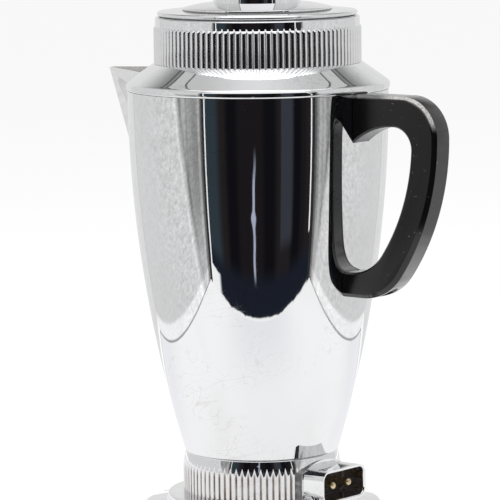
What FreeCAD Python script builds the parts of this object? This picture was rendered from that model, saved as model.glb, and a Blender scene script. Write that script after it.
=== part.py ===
import FreeCAD, Part
import math
import os

# Electric coffee percolator: tapered chrome pot, reeded neck and base, beak spout, flat D handle.
# The pot's axis is Z, the table is Z = 0, the handle points along +X and the spout along -X.

# Sheet metal and clearances
sheet = 1.2              # wall of the pot, shoulder, lid and spout
foot_sheet = 1.5         # wall of the flared foot
joint_gap = 0.15         # curved faces that are soldered or clamped together
lift_gap = 0.3           # faces of pieces that lift apart
cut_past = 5.0           # how far a cutting rod runs past the faces it cuts

# Pot body: one long arc, upright at the top
body_top_r = 66.6
body_top_z = 219.0
body_bottom_r = 39.4
body_bottom_z = 33.3

# Shoulder with its rolled rim and the neck that stands on it
rim_overhang = 0.7       # how far the rolled rim stands out past the body
rim_height = 4.8
shoulder_slope = 0.674   # rise of the cone for each millimetre inwards
mouth_r = body_top_r - 17.6   # inside of the neck
neck_height = 23.9

# Reeded collar round the neck
collar_crest_r = mouth_r + 3.9
collar_reed_depth = 0.75
collar_reeds = 105
collar_reed_height = 18.9
collar_top_taper = 0.8   # how far the smooth band leans in
collar_land = 0.4        # level land on the shoulder outside the reeds
collar_drop = 0.3        # collar's upper edge below the neck's

# Lid, its skirt, and the collar that holds the glass
lid_rim_r = mouth_r + 2.0
lid_rim_height = 2.3
lid_step_r = mouth_r - 11.3
lid_step_height = 1.7
lid_dome_rise = 2.7
lid_skirt_depth = 12.5
lid_skirt_wall = 1.0
lid_skirt_gap = 0.6      # play of the skirt in the mouth
drum_r = 22.3
drum_height = 8.5
drum_wall = 1.2

# Glass knob with two bayonet lugs
knob_neck_r = 17.0
knob_wall = 2.6
knob_height = 27.0       # dome above the drum
knob_lug_reach = 2.6
knob_lug_height = 2.2
knob_lug_angle = 50.0
knob_notch_angle = 60.0  # notches in the drum's lip that let the lugs through
knob_play = 0.4

# Spout: a folded sheet with a rounded nose
spout_reach = body_top_r + 33.2
spout_top_z = body_top_z + 7.5
spout_keel_slope = 0.355  # how fast the keel runs in going down
spout_half_angle = 29.0
spout_nose_r = 4.0
strainer_hole_r = 1.8
strainer_pitch = 6.0
strainer_rows = 5
strainer_low_z = body_top_z - 38.0

# Handle, in side view
handle_thick = 14.0
handle_reach = body_top_r + 50.2    # outermost point of the grip
handle_top_z = body_top_z + 0.4
handle_corner_r = 20.6
handle_bar = 15.1        # width of the grip
handle_heel_x = body_top_r + 27.4   # where the grip turns into the lower arm
handle_heel_z = body_top_z - 89.8
handle_low_z = body_top_z - 101.7
handle_outer_chamfer = 2.0
handle_inner_chamfer = 0.9

# Finger opening of the handle
gap_top_drop = 15.3      # upper arm's height at the arch
gap_front_drop = 26.9    # foremost point of the opening below the handle's top
gap_heel_x = body_top_r + 16.5
gap_heel_z = body_top_z - 79.3
gap_floor_z = body_top_z - 89.1
gap_floor_x = body_top_r - 2.6      # where the lower arm's level upper side ends
hook_z = body_top_z - 24.0          # lowest point of the upper pad

# Handle screws
screw_r = 2.0
screw_head_r = 3.8
screw_head_height = 2.4
screw_play = 0.1
washer_height = 1.0
upper_screw_z = body_top_z - 7.5
insert_r = 4.0
insert_length = 14.0
lower_screw_z = handle_low_z + 6.7
lower_head_r = 2.9
lower_stud_r = 3.6
lower_stud_length = 8.0
lower_recess_out = 14.5  # floor of the recess for the lower screw's head, off the pot's wall
recess_play = 0.4

# Vessel floor with its heating well
floor_rise = 4.0         # floor above the body's lower edge
well_r = body_bottom_r - 19.4
well_depth = 15.0

# Base: fluted ring, two-step foot, cover and pad
base_crest_r = body_bottom_r + 1.2
base_reed_depth = 0.55
base_reeds = 80
base_reed_top_z = 24.1   # where the crests start to lean in
base_top_r = body_bottom_r - 0.4
base_bore_r = body_bottom_r - 2.0
foot_step_r = base_crest_r + 8.2
foot_step_z = 11.6
foot_flange_r = foot_step_r + 12.4
foot_flange_z = 4.9
flange_rise = 1.9        # height of the flange's root above its outer edge
flange_slant = 0.3       # fall of the flange next to its rolled edge
foot_bore_r = base_bore_r - 3.4
pad_height = 1.6
pad_inner_r = foot_flange_r - 12.2
pad_outer_r = foot_flange_r - 3.2
cover_sheet = 1.2
cover_dish_r = 11.0
cover_dish_rise = 5.0

# Inlet: shroud, insulator and two pins
inlet_width = 35.0
inlet_height = 16.8
inlet_corner_r = 4.8
inlet_wall = 1.4
inlet_mouth_x = base_crest_r + 13.4
inlet_back_x = base_bore_r - 6.4
inlet_z = foot_step_z + joint_gap + inlet_height / 2
root_overhang = 0.6      # how far the shroud's thick root stands out at its sides
root_reach = 0.4         # root's front face past the reeds
root_spring = 5.8        # where the root's arched top starts above the pins
root_crown = 11.5        # top of the arch above the pins
insulator_face_x = base_crest_r - 1.1
pin_r = 2.0
pin_spacing = 12.7
pin_tip_x = inlet_mouth_x - 1.6
pin_thread_r = 1.5       # thinner part of the pin, held in the insulator
pin_tail = 0.8           # thread left bare behind the nut
pin_nut_r = 3.4
pin_nut_height = 2.2

# Heater round the well
heater_wall = 3.0
heater_height = 11.0
heater_drop = 2.3        # top of the heater below the vessel floor
clamp_wall = 0.8
clamp_ear = 7.0
clamp_gap = 5.0          # opening between the clamp's ears
clamp_screw_r = 1.5
clamp_head_r = 2.7
clamp_head_height = 1.6
clamp_inset = 2.0        # heater left bare above and below the clamp
strip_wall = 1.0
strip_width = 6.0
shield_height = 0.8
stud_r = 3.0
stud_nut_r = 5.5
stud_nut_height = 3.0
stud_washer_r = 7.5
stud_tail = 0.5          # stud left bare below the nut

# Pump, basket and spreader
stem_r = 4.0
stem_wall = 1.0
stem_top_z = body_top_z + 35.0
bell_r = well_r - 3.5
bell_height = 17.0
bell_wall = 1.0
bell_neck_height = 4.0
seat_height = 1.0
seat_foot_height = 1.5
seat_foot_r = 1.5
valve_r = 0.55 * bell_r
valve_height = 0.8
valve_port_r = 0.3 * bell_r
basket_r = mouth_r - 5.5
basket_height = 58.0
basket_wall = 0.9
basket_low_z = body_top_z - 41.0
basket_lip = 1.6
stop_height = 3.0
stop_r = 6.5
slide_play = 0.5         # play of the basket on the stem and of the spreader in the basket
spreader_wall = 0.9
spreader_rim_depth = 3.3
drain_hole_r = 1.6
basket_hole_rings = ((14.0, 7), (25.0, 11), (35.0, 15))
spreader_hole_rings = ((15.0, 6), (29.0, 12))


# Geometry helpers

def at(x, z):
    return FreeCAD.Vector(x, 0, z)


def face_of(start, *steps):
    """A face in the XZ plane. A step is the next corner, or a pair: a point on an arc and the arc's end."""
    edges = []
    here = start
    for step in steps + (start,):
        if isinstance(step, tuple):
            middle, end = step
            edges.append(Part.Arc(here, middle, end).toShape())
            here = end
        elif (step - here).Length > 1e-6:
            edges.append(Part.LineSegment(here, step).toShape())
            here = step
    return Part.Face(Part.Wire(edges))


def spin(face):
    """A turned solid. Its seam faces along Y, clear of the holes on the X sides."""
    turned = face.revolve(FreeCAD.Vector(0, 0, 0), FreeCAD.Vector(0, 0, 1), 360)
    turned.rotate(FreeCAD.Vector(0, 0, 0), FreeCAD.Vector(0, 0, 1), 90)
    return turned


def tube(outer, inner, low, high):
    ring = Part.makeCylinder(outer, high - low, FreeCAD.Vector(0, 0, low))
    if inner:
        ring = ring.cut(Part.makeCylinder(inner, high - low, FreeCAD.Vector(0, 0, low)))
    return ring


def rod(radius, start_x, end_x, z, y=0.0):
    return Part.makeCylinder(radius, end_x - start_x, FreeCAD.Vector(start_x, y, z), FreeCAD.Vector(1, 0, 0))


def hexagon(across_r, low, high):
    corners = [FreeCAD.Vector(across_r * math.cos(math.radians(60 * k)),
                              across_r * math.sin(math.radians(60 * k)), low) for k in range(7)]
    return Part.Face(Part.makePolygon(corners)).extrude(FreeCAD.Vector(0, 0, high - low))


def hexagon_along_x(across_r, start_x, end_x, y, z):
    corners = [FreeCAD.Vector(start_x, y + across_r * math.cos(math.radians(60 * k)),
                              z + across_r * math.sin(math.radians(60 * k))) for k in range(7)]
    return Part.Face(Part.makePolygon(corners)).extrude(FreeCAD.Vector(end_x - start_x, 0, 0))


def rounded_bar(width, height, corner, start_x, end_x, z):
    """A bar along X with a rounded rectangular section, centred on Y = 0 and the given height."""
    box = Part.makeBox(end_x - start_x, width, height, FreeCAD.Vector(start_x, -width / 2, z - height / 2))
    long_edges = [e for e in box.Edges if abs(e.Vertexes[0].X - e.Vertexes[-1].X) > 1e-6]
    return box.makeFillet(corner, long_edges)


def reeded_prism(crest_r, depth, count, low, high):
    """A prism whose outline is a ring of convex reeds that meet in sharp valleys."""
    step = 2 * math.pi / count

    def on_circle(radius, turn):
        return FreeCAD.Vector(radius * math.cos(turn), radius * math.sin(turn), low)

    valleys = [on_circle(crest_r - depth, k * step) for k in range(count)]
    valleys.append(valleys[0])
    edges = [Part.Arc(valleys[k], on_circle(crest_r, (k + 0.5) * step), valleys[k + 1]).toShape()
             for k in range(count)]
    return Part.Face(Part.Wire(edges)).extrude(FreeCAD.Vector(0, 0, high - low))


def ring_of_holes(radius, rings, low, high):
    """Upright drill rods, one for each hole of every ring."""
    rods = []
    for ring_r, count in rings:
        for k in range(count):
            turn = 2 * math.pi * k / count
            spot = FreeCAD.Vector(ring_r * math.cos(turn), ring_r * math.sin(turn), low)
            rods.append(Part.makeCylinder(radius, high - low, spot))
    return Part.makeCompound(rods)


def save(name, shape):
    solids = shape.Solids
    kept = solids[0] if len(solids) == 1 else Part.makeCompound(solids)
    kept.exportStep("parts/" + name + ".step")
    print(name, len(solids), round(sum(s.Volume for s in solids), 1), shape.isValid())


os.makedirs("parts", exist_ok=True)

# Pot body

arc_height = body_top_z - body_bottom_z
arc_run = body_top_r - body_bottom_r
arc_r = (arc_height ** 2 + arc_run ** 2) / (2 * arc_run)
arc_centre = body_top_r - arc_r


def body_r(z, inset=0.0):
    """Radius of the body's outer face, or of a face that lies inset within it, at a height."""
    return arc_centre + math.sqrt((arc_r - inset) ** 2 - (body_top_z - z) ** 2)


def body_solid(inset, low, high):
    middle = (low + high) / 2
    return spin(face_of(at(0, low), at(body_r(low, inset), low),
                        (at(body_r(middle, inset), middle), at(body_r(high, inset), high)), at(0, high)))


body_blank = body_solid(0, body_bottom_z, body_top_z).cut(body_solid(sheet, body_bottom_z, body_top_z))
upper_wall_x = body_r(upper_screw_z)
upper_hole = rod(screw_r + screw_play, upper_wall_x - cut_past, upper_wall_x + cut_past, upper_screw_z)
strainer = []
for row in range(strainer_rows):
    row_z = strainer_low_z + row * strainer_pitch
    holes_in_row = 2 + row // 2
    for k in range(holes_in_row):
        hole_y = (k - (holes_in_row - 1) / 2) * strainer_pitch
        wall_x = -body_r(row_z)
        strainer.append(rod(strainer_hole_r, wall_x - cut_past, wall_x + cut_past, row_z, hole_y))
body_shell = body_blank.cut(Part.makeCompound(strainer + [upper_hole]))

# Shoulder and neck

rim_r = body_top_r + rim_overhang
rim_top_z = body_top_z + rim_height
neck_r = mouth_r + sheet
land_r = collar_crest_r + collar_land
land_z = rim_top_z + shoulder_slope * (rim_r - sheet - land_r)
neck_top_z = land_z + neck_height
cone_inset = sheet * math.sqrt(1 + shoulder_slope ** 2)   # upright thickness of the slanted sheet


def shoulder_envelope(grow):
    """Solid of the shoulder's outer faces, grown outwards."""
    return spin(face_of(at(0, body_top_z), at(rim_r + grow, body_top_z), at(rim_r + grow, rim_top_z + grow),
                        at(rim_r - sheet + grow, rim_top_z + grow), at(land_r + grow, land_z + grow),
                        at(0, land_z + grow)))


lip_inner_r = body_top_r - 1.5 * sheet
shoulder = spin(face_of(
    at(lip_inner_r, body_top_z), at(body_top_r, body_top_z),
    (at(rim_r, body_top_z + 0.5 * rim_height), at(rim_r - sheet, rim_top_z)),
    at(land_r, land_z), at(neck_r, land_z), at(neck_r, neck_top_z), at(mouth_r, neck_top_z),
    at(mouth_r, land_z - sheet), at(land_r, land_z - cone_inset),
    at(lip_inner_r, land_z - cone_inset - shoulder_slope * (lip_inner_r - land_r))))

# Reeded collar round the neck

collar_bore = neck_r + joint_gap
reed_top_z = land_z + collar_reed_height
valley_r = collar_crest_r - collar_reed_depth
collar_top_z = neck_top_z - collar_drop
smooth_band = spin(face_of(
    at(collar_bore, reed_top_z), at(valley_r, reed_top_z),
    at(valley_r - 0.2 * collar_top_taper, collar_top_z - collar_top_taper),
    (at(valley_r - 0.45 * collar_top_taper, collar_top_z - 0.3 * collar_top_taper),
     at(valley_r - collar_top_taper, collar_top_z)), at(collar_bore, collar_top_z)))
reed_band = reeded_prism(collar_crest_r, collar_reed_depth, collar_reeds, land_z, reed_top_z)
reed_band = reed_band.cut(tube(collar_bore, 0, land_z, reed_top_z))
neck_collar = reed_band.fuse(smooth_band).removeSplitter()

# Spout

nose_centre = -(spout_reach - spout_nose_r)
spread = math.radians(spout_half_angle)


def spout_section(inset, depth):
    """The V of the folded sheet in plan: straight flanks that touch the round nose."""
    nose = spout_nose_r - inset
    touch = FreeCAD.Vector(nose_centre - nose * math.sin(spread), nose * math.cos(spread), spout_top_z)
    run = depth / math.cos(spread)
    back = touch + FreeCAD.Vector(run * math.cos(spread), run * math.sin(spread), 0)
    tip = FreeCAD.Vector(nose_centre - nose, 0, spout_top_z)
    mirror_touch = FreeCAD.Vector(touch.x, -touch.y, touch.z)
    mirror_back = FreeCAD.Vector(back.x, -back.y, back.z)
    edges = [Part.LineSegment(back, touch).toShape(), Part.Arc(touch, tip, mirror_touch).toShape(),
             Part.LineSegment(mirror_touch, mirror_back).toShape(),
             Part.LineSegment(mirror_back, back).toShape()]
    return Part.Face(Part.Wire(edges))


spout_drop = spout_top_z - body_bottom_z
spout_run = FreeCAD.Vector(spout_keel_slope * spout_drop, 0, -spout_drop)
spout_depth = spout_reach - mouth_r
spout_sheet = spout_section(0, spout_depth).cut(spout_section(sheet, spout_depth + sheet))
spout_trough = spout_sheet.extrude(spout_run)
pot_envelope = body_solid(-joint_gap, body_bottom_z - sheet, body_top_z)
spout_pieces = spout_trough.cut(pot_envelope).cut(shoulder_envelope(joint_gap)).Solids
spout = max(spout_pieces, key=lambda piece: piece.Volume)

# Handle

def swing(start, heading, end):
    """The arc that leaves start at a heading in degrees and reaches end, and the heading it has there."""
    way = end - start
    bearing = math.degrees(math.atan2(way.z, way.x))
    turn = (bearing - heading + 180) % 360 - 180
    right = FreeCAD.Vector(way.z, 0, -way.x) / way.Length
    swell = way.Length / 2 * math.tan(math.radians(turn / 2))
    return ((start + end) / 2 + right * swell, end), bearing + turn


def levels_at(start, heading, level_heading, z):
    """The point at height z where the arc that leaves start at a heading becomes level."""
    slope = math.tan(math.radians((heading + level_heading) / 2))
    return at(start.x + (z - start.z) / slope, z)


def slab(face, thick):
    """A plate of the face, centred on Y = 0."""
    plate = face.extrude(FreeCAD.Vector(0, thick, 0))
    plate.translate(FreeCAD.Vector(0, -thick / 2, 0))
    return plate


def side_edges(shape, outline):
    """Edges on the plate's two flat sides that run along an outline."""
    chosen = []
    for edge in shape.Edges:
        middle = edge.valueAt((edge.FirstParameter + edge.LastParameter) / 2)
        on_sides = all(abs(abs(v.Y) - handle_thick / 2) < 1e-6 for v in edge.Vertexes)
        on_sides = on_sides and abs(abs(middle.y) - handle_thick / 2) < 1e-6
        spot = Part.Vertex(at(middle.x, middle.z))
        if on_sides and outline.distToShape(spot)[0] < 1e-4:
            chosen.append(edge)
    return chosen


handle_root_x = body_r(handle_low_z) - 2 * sheet
corner_x = handle_reach - handle_corner_r
corner_z = handle_top_z - handle_corner_r
half_turn = handle_corner_r * math.sqrt(0.5)
heel = at(handle_heel_x, handle_heel_z)
grip_back, heel_heading = swing(at(handle_reach, corner_z), -90, heel)
toe = levels_at(heel, heel_heading, -180, handle_low_z)
heel_round = swing(heel, heel_heading, toe)[0]
back = face_of(
    at(handle_root_x, handle_top_z), at(corner_x, handle_top_z),
    (at(corner_x + half_turn, corner_z + half_turn), at(handle_reach, corner_z)),
    grip_back, heel_round, at(handle_root_x, handle_low_z))
gap_floor = at(gap_floor_x, gap_floor_z)
gap_heel = at(gap_heel_x, gap_heel_z)
gap_front = at(handle_reach - handle_bar, handle_top_z - gap_front_drop)
floor_round, gap_heading = swing(gap_floor, 0, gap_heel)
grip_front, front_heading = swing(gap_heel, gap_heading, gap_front)
gap_top = levels_at(gap_front, front_heading, 180, handle_top_z - gap_top_drop)
arch_front = swing(gap_front, front_heading, gap_top)[0]
arch_back = swing(gap_top, 180, at(body_r(hook_z), hook_z))[0]
finger_gap = face_of(
    at(handle_root_x, gap_floor_z), gap_floor, floor_round, grip_front, arch_front, arch_back,
    at(handle_root_x, hook_z))
grip = slab(back, handle_thick)
outer_edges = [e for e in side_edges(grip, back.OuterWire)
               if abs(e.CenterOfMass.x - handle_root_x) > 1e-6]
grip = grip.makeChamfer(handle_outer_chamfer, outer_edges)
grip = grip.cut(slab(finger_gap, 2 * handle_thick))
grip = grip.makeChamfer(handle_inner_chamfer, side_edges(grip, finger_gap.OuterWire))
handle_pad = pot_envelope.fuse(shoulder_envelope(joint_gap))
insert_start = upper_wall_x + joint_gap
insert_end = insert_start + insert_length
lower_spot = at(body_r(lower_screw_z), lower_screw_z)
lower_way = (lower_spot - at(arc_centre, body_top_z)).normalize()


def lower_rod(radius, start, end):
    """A rod on the lower screw's line, square to the pot's leaning wall, between two distances off it."""
    return Part.makeCylinder(radius, end - start, lower_spot + lower_way * start, lower_way)


recess_r = lower_head_r + recess_play
handle = grip.cut(handle_pad).cut(Part.makeCompound([
    rod(insert_r + joint_gap, upper_wall_x - cut_past, insert_end + joint_gap, upper_screw_z),
    lower_rod(lower_stud_r + joint_gap, -cut_past, lower_stud_length + joint_gap)]))
handle = handle.cut(lower_rod(screw_r + screw_play, 0, lower_recess_out))
handle = handle.cut(lower_rod(recess_r, lower_recess_out, handle_reach))

# Handle fasteners: the upper screw comes from inside the pot, the lower one from outside

inner_wall = body_solid(sheet + joint_gap, body_bottom_z, body_top_z)
washer_x = body_r(upper_screw_z, sheet + joint_gap) - washer_height
upper_washer = rod(screw_head_r, washer_x, upper_wall_x, upper_screw_z).common(inner_wall)
upper_washer = upper_washer.cut(rod(screw_r + screw_play, washer_x, upper_wall_x, upper_screw_z))
upper_head_x = washer_x - screw_head_height
upper_tip_x = insert_end - screw_head_height
upper_screw = rod(screw_head_r, upper_head_x, washer_x, upper_screw_z)
upper_screw = upper_screw.fuse(rod(screw_r, washer_x, upper_tip_x, upper_screw_z))
handle_insert = rod(insert_r, insert_start, insert_end, upper_screw_z)
handle_insert = handle_insert.cut(rod(screw_r + screw_play, insert_start, insert_end, upper_screw_z))
lower_bore = lower_rod(screw_r + screw_play, 0, handle_reach)
lower_stud = lower_rod(lower_stud_r, -cut_past, lower_stud_length).cut(handle_pad).cut(lower_bore)
lower_head_out = lower_recess_out + washer_height
lower_washer = lower_rod(lower_head_r, lower_recess_out, lower_head_out).cut(lower_bore)
lower_screw = lower_rod(screw_r, screw_head_height, lower_head_out)
lower_screw = lower_screw.fuse(lower_rod(lower_head_r, lower_head_out, lower_head_out + screw_head_height))

# Vessel floor with the heating well

floor_z = body_bottom_z + floor_rise
floor_top_z = floor_z + sheet
floor_r = body_r(floor_z, sheet) - joint_gap
well_low_z = floor_z - well_depth
well_bore_r = well_r - sheet
well_floor_z = well_low_z + sheet
vessel_floor = spin(face_of(
    at(0, well_low_z), at(well_r, well_low_z), at(well_r, floor_z), at(floor_r, floor_z),
    at(floor_r, floor_top_z), at(well_bore_r, floor_top_z), at(well_bore_r, well_floor_z),
    at(0, well_floor_z)))

# Fluted base ring: the reeds run out where the ring leans in to meet the pot

lean_height = body_bottom_z - base_reed_top_z
lean_run = base_crest_r - base_top_r
lean_r = (lean_height ** 2 + lean_run ** 2) / (2 * lean_run)
lean_middle_z = base_reed_top_z + lean_height / 2
lean_middle_r = base_crest_r - lean_r + math.sqrt(lean_r ** 2 - (lean_height / 2) ** 2)
base_limits = spin(face_of(
    at(base_bore_r, foot_step_z), at(base_crest_r, foot_step_z), at(base_crest_r, base_reed_top_z),
    (at(lean_middle_r, lean_middle_z), at(base_top_r, body_bottom_z)), at(base_bore_r, body_bottom_z)))
base_reeding = reeded_prism(base_crest_r, base_reed_depth, base_reeds, foot_step_z, body_bottom_z)
inlet_window = rounded_bar(inlet_width + 2 * joint_gap, inlet_height + 2 * joint_gap,
                           inlet_corner_r + joint_gap, inlet_back_x - cut_past, inlet_mouth_x, inlet_z)
inlet_notch = Part.makeBox(inlet_mouth_x, inlet_width + 2 * joint_gap, inlet_z - foot_step_z,
                           FreeCAD.Vector(inlet_back_x - cut_past, -inlet_width / 2 - joint_gap, foot_step_z))
inlet_window = inlet_window.fuse(inlet_notch)
base_ring = base_limits.common(base_reeding).cut(inlet_window)

# Flared foot in two steps, bottom cover and non-slip pad

step_round = foot_sheet
flange_root_r = foot_step_r + foot_sheet
foot_low_z = pad_height
inner_step_r = foot_step_r - foot_sheet
flange_root_z = foot_flange_z + flange_rise
foot_profile = face_of(
    at(foot_bore_r, foot_step_z), at(foot_step_r - step_round, foot_step_z),
    (at(foot_step_r - 0.3 * step_round, foot_step_z - 0.3 * step_round),
     at(foot_step_r, foot_step_z - step_round)),
    at(foot_step_r, flange_root_z + 0.5 * foot_sheet), at(flange_root_r, flange_root_z),
    at(foot_flange_r - 0.6 * foot_sheet, foot_flange_z + flange_slant),
    (at(foot_flange_r - 0.2 * foot_sheet, foot_flange_z),
     at(foot_flange_r, foot_flange_z - 0.6 * foot_sheet)),
    at(foot_flange_r, foot_low_z), at(foot_flange_r - foot_sheet, foot_low_z),
    at(foot_flange_r - foot_sheet, foot_flange_z - foot_sheet),
    at(inner_step_r, flange_root_z - foot_sheet), at(inner_step_r, foot_step_z - foot_sheet),
    at(foot_bore_r, foot_step_z - foot_sheet))
foot = spin(foot_profile)
cover_r = foot_flange_r - foot_sheet - joint_gap
cover_top_z = pad_height + cover_sheet
dish_z = pad_height + cover_dish_rise
edge_top_z = foot_flange_z - foot_sheet - joint_gap
bottom_cover = spin(face_of(
    at(stud_r + screw_play, dish_z), at(cover_dish_r, dish_z), at(cover_dish_r, pad_height),
    at(cover_r, pad_height), at(cover_r, edge_top_z), at(cover_r - cover_sheet, edge_top_z),
    at(cover_r - cover_sheet, cover_top_z), at(cover_dish_r + cover_sheet, cover_top_z),
    at(cover_dish_r + cover_sheet, dish_z + cover_sheet), at(stud_r + screw_play, dish_z + cover_sheet)))
base_pad = tube(pad_outer_r, pad_inner_r, 0, pad_height)

# Stud, washer and nut that hold the base together, and the heat shield above the cover

washer_low_z = dish_z - washer_height
nut_low_z = washer_low_z - stud_nut_height
base_stud = tube(stud_r, 0, nut_low_z - stud_tail, well_low_z)
base_washer = tube(stud_washer_r, stud_r + screw_play, washer_low_z, dish_z)
base_nut = hexagon(stud_nut_r, nut_low_z, washer_low_z).cut(
    tube(stud_r + screw_play, 0, nut_low_z, washer_low_z))
heat_shield = tube(base_bore_r - joint_gap, stud_r + screw_play, foot_step_z, foot_step_z + shield_height)
heat_shield = heat_shield.cut(inlet_window)

# Inlet: shroud, insulator, pins, nuts and supply strips

socket_width = inlet_width - 2 * inlet_wall
socket_height = inlet_height - 2 * inlet_wall
root_side = inlet_width / 2 + root_overhang
root_low_z = inlet_z - inlet_height / 2
root_edge_z = inlet_z + root_spring
root_front_x = base_crest_r + root_reach
root_corners = [FreeCAD.Vector(inlet_back_x, y, z) for y, z in (
    (-root_side, root_edge_z), (-root_side, root_low_z), (root_side, root_low_z), (root_side, root_edge_z))]
root_arch = Part.Arc(root_corners[3], FreeCAD.Vector(inlet_back_x, 0, inlet_z + root_crown), root_corners[0])
root_face = Part.Face(Part.Wire(Part.makePolygon(root_corners).Edges + [root_arch.toShape()]))
inlet_root = root_face.extrude(FreeCAD.Vector(root_front_x - inlet_back_x, 0, 0))
inlet_root = inlet_root.cut(tube(base_crest_r + joint_gap, 0, 0, body_bottom_z))
inlet_shroud = rounded_bar(inlet_width, inlet_height, inlet_corner_r, inlet_back_x, inlet_mouth_x, inlet_z)
inlet_shroud = inlet_shroud.fuse(inlet_root).removeSplitter()
inlet_shroud = inlet_shroud.cut(rounded_bar(socket_width, socket_height, inlet_corner_r - inlet_wall,
                                            inlet_back_x - cut_past, inlet_mouth_x + cut_past, inlet_z))
pin_spots = (-pin_spacing / 2, pin_spacing / 2)
insulator = rounded_bar(socket_width - 2 * joint_gap, socket_height - 2 * joint_gap,
                        inlet_corner_r - inlet_wall - joint_gap, inlet_back_x, insulator_face_x, inlet_z)
insulator = insulator.cut(Part.makeCompound(
    [rod(pin_thread_r + screw_play, inlet_back_x, insulator_face_x, inlet_z, y) for y in pin_spots]))
strip_x = inlet_back_x - strip_wall
nut_x = strip_x - pin_nut_height
pin_start_x = nut_x - pin_tail
pins = []
pin_nuts = []
strips = []
heater_top_z = floor_z - heater_drop
strip_low_z = inlet_z - strip_width / 2
for y in pin_spots:
    pin = rod(pin_r, insulator_face_x, pin_tip_x, inlet_z, y)
    tip_edges = [e for e in pin.Edges if abs(e.CenterOfMass.x - pin_tip_x) < 1e-6]
    pin = pin.makeFillet(0.7 * pin_r, tip_edges)
    pins.append(pin.fuse(rod(pin_thread_r, pin_start_x, insulator_face_x, inlet_z, y)))
    pin_hole = rod(pin_thread_r + screw_play, nut_x, inlet_back_x, inlet_z, y)
    pin_nuts.append(hexagon_along_x(pin_nut_r, nut_x, strip_x, y, inlet_z).cut(pin_hole))
    upright = Part.makeBox(strip_wall, strip_width, heater_top_z + joint_gap + strip_wall - strip_low_z,
                           FreeCAD.Vector(strip_x, y - strip_width / 2, strip_low_z))
    level = Part.makeBox(strip_x - well_r - 0.5 * heater_wall, strip_width, strip_wall,
                         FreeCAD.Vector(well_r + 0.5 * heater_wall, y - strip_width / 2,
                                        heater_top_z + joint_gap))
    strips.append(upright.fuse(level).removeSplitter().cut(pin_hole))

# Heater band round the well, held by a clamp with ears and a screw

heater_inner_r = well_r + joint_gap
heater_outer_r = heater_inner_r + heater_wall
heater_low_z = heater_top_z - heater_height
clamp_inner_r = heater_outer_r + joint_gap
clamp_outer_r = clamp_inner_r + clamp_wall
ear_reach = clamp_outer_r + clamp_ear
clamp_opening = Part.makeBox(ear_reach, clamp_gap, heater_height,
                             FreeCAD.Vector(-ear_reach - clamp_wall, -clamp_gap / 2, heater_low_z))
heater_band = tube(heater_outer_r, heater_inner_r, heater_low_z, heater_top_z).cut(clamp_opening)
ear_height = heater_height - 2 * clamp_inset
ear_low_z = heater_low_z + clamp_inset
clamp_ring = tube(clamp_outer_r, clamp_inner_r, ear_low_z, ear_low_z + ear_height)
ears = Part.makeBox(ear_reach - clamp_inner_r, clamp_gap + 2 * clamp_wall, ear_height,
                    FreeCAD.Vector(-ear_reach, -clamp_gap / 2 - clamp_wall, ear_low_z))
ears = ears.cut(tube(clamp_inner_r, 0, ear_low_z, ear_low_z + ear_height))
clamp_screw_x = -(clamp_outer_r + 0.6 * clamp_ear)
clamp_screw_z = ear_low_z + ear_height / 2
ear_face_y = clamp_gap / 2 + clamp_wall


def rod_along_y(radius, start_y, end_y):
    return Part.makeCylinder(radius, end_y - start_y, FreeCAD.Vector(clamp_screw_x, start_y, clamp_screw_z),
                             FreeCAD.Vector(0, 1, 0))


heater_clamp = clamp_ring.fuse(ears).cut(clamp_opening)
heater_clamp = heater_clamp.cut(rod_along_y(clamp_screw_r + screw_play, -ear_reach, ear_reach))
heater_clamp = heater_clamp.removeSplitter()
clamp_screw = rod_along_y(clamp_screw_r, -ear_face_y, ear_face_y + 2 * clamp_head_height)
clamp_screw = clamp_screw.fuse(rod_along_y(clamp_head_r, -ear_face_y - clamp_head_height, -ear_face_y))
clamp_nut = rod_along_y(clamp_head_r, ear_face_y, ear_face_y + clamp_head_height)
clamp_nut = clamp_nut.cut(rod_along_y(clamp_screw_r + screw_play, ear_face_y, ear_face_y + clamp_head_height))

# Pump: foot with its valve seat, bell, stem and the stop that carries the basket

seat_low_z = well_floor_z + lift_gap + seat_foot_height
bell_low_z = seat_low_z + seat_height
bell_top_z = bell_low_z + bell_height
valve_seat = tube(bell_r, valve_port_r, seat_low_z, bell_low_z)
for k in range(3):
    turn = 2 * math.pi * k / 3
    seat_foot = Part.makeCylinder(seat_foot_r, seat_foot_height, FreeCAD.Vector(
        0.8 * bell_r * math.cos(turn), 0.8 * bell_r * math.sin(turn), seat_low_z - seat_foot_height))
    valve_seat = valve_seat.fuse(seat_foot)
valve_seat = valve_seat.removeSplitter()
neck_bore = stem_r + screw_play
bell_middle_r = neck_bore + 0.34 * (bell_r - neck_bore)
bell_middle_z = bell_low_z + 0.5 * bell_height
pump_bell = spin(face_of(
    at(bell_r - bell_wall, bell_low_z), at(bell_r, bell_low_z),
    (at(bell_middle_r + bell_wall, bell_middle_z), at(neck_bore + bell_wall, bell_top_z)),
    at(neck_bore + bell_wall, bell_top_z + bell_neck_height), at(neck_bore, bell_top_z + bell_neck_height),
    at(neck_bore, bell_top_z), (at(bell_middle_r, bell_middle_z), at(bell_r - bell_wall, bell_low_z))))
pump_stem = tube(stem_r, stem_r - stem_wall, bell_top_z, stem_top_z)
valve_low_z = bell_low_z + lift_gap
pump_valve = tube(valve_r, 0, valve_low_z, valve_low_z + valve_height)
stop_top_z = basket_low_z - lift_gap
stem_stop = tube(stop_r, stem_r + screw_play, stop_top_z - stop_height, stop_top_z)

# Coffee basket and spreader plate

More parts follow.
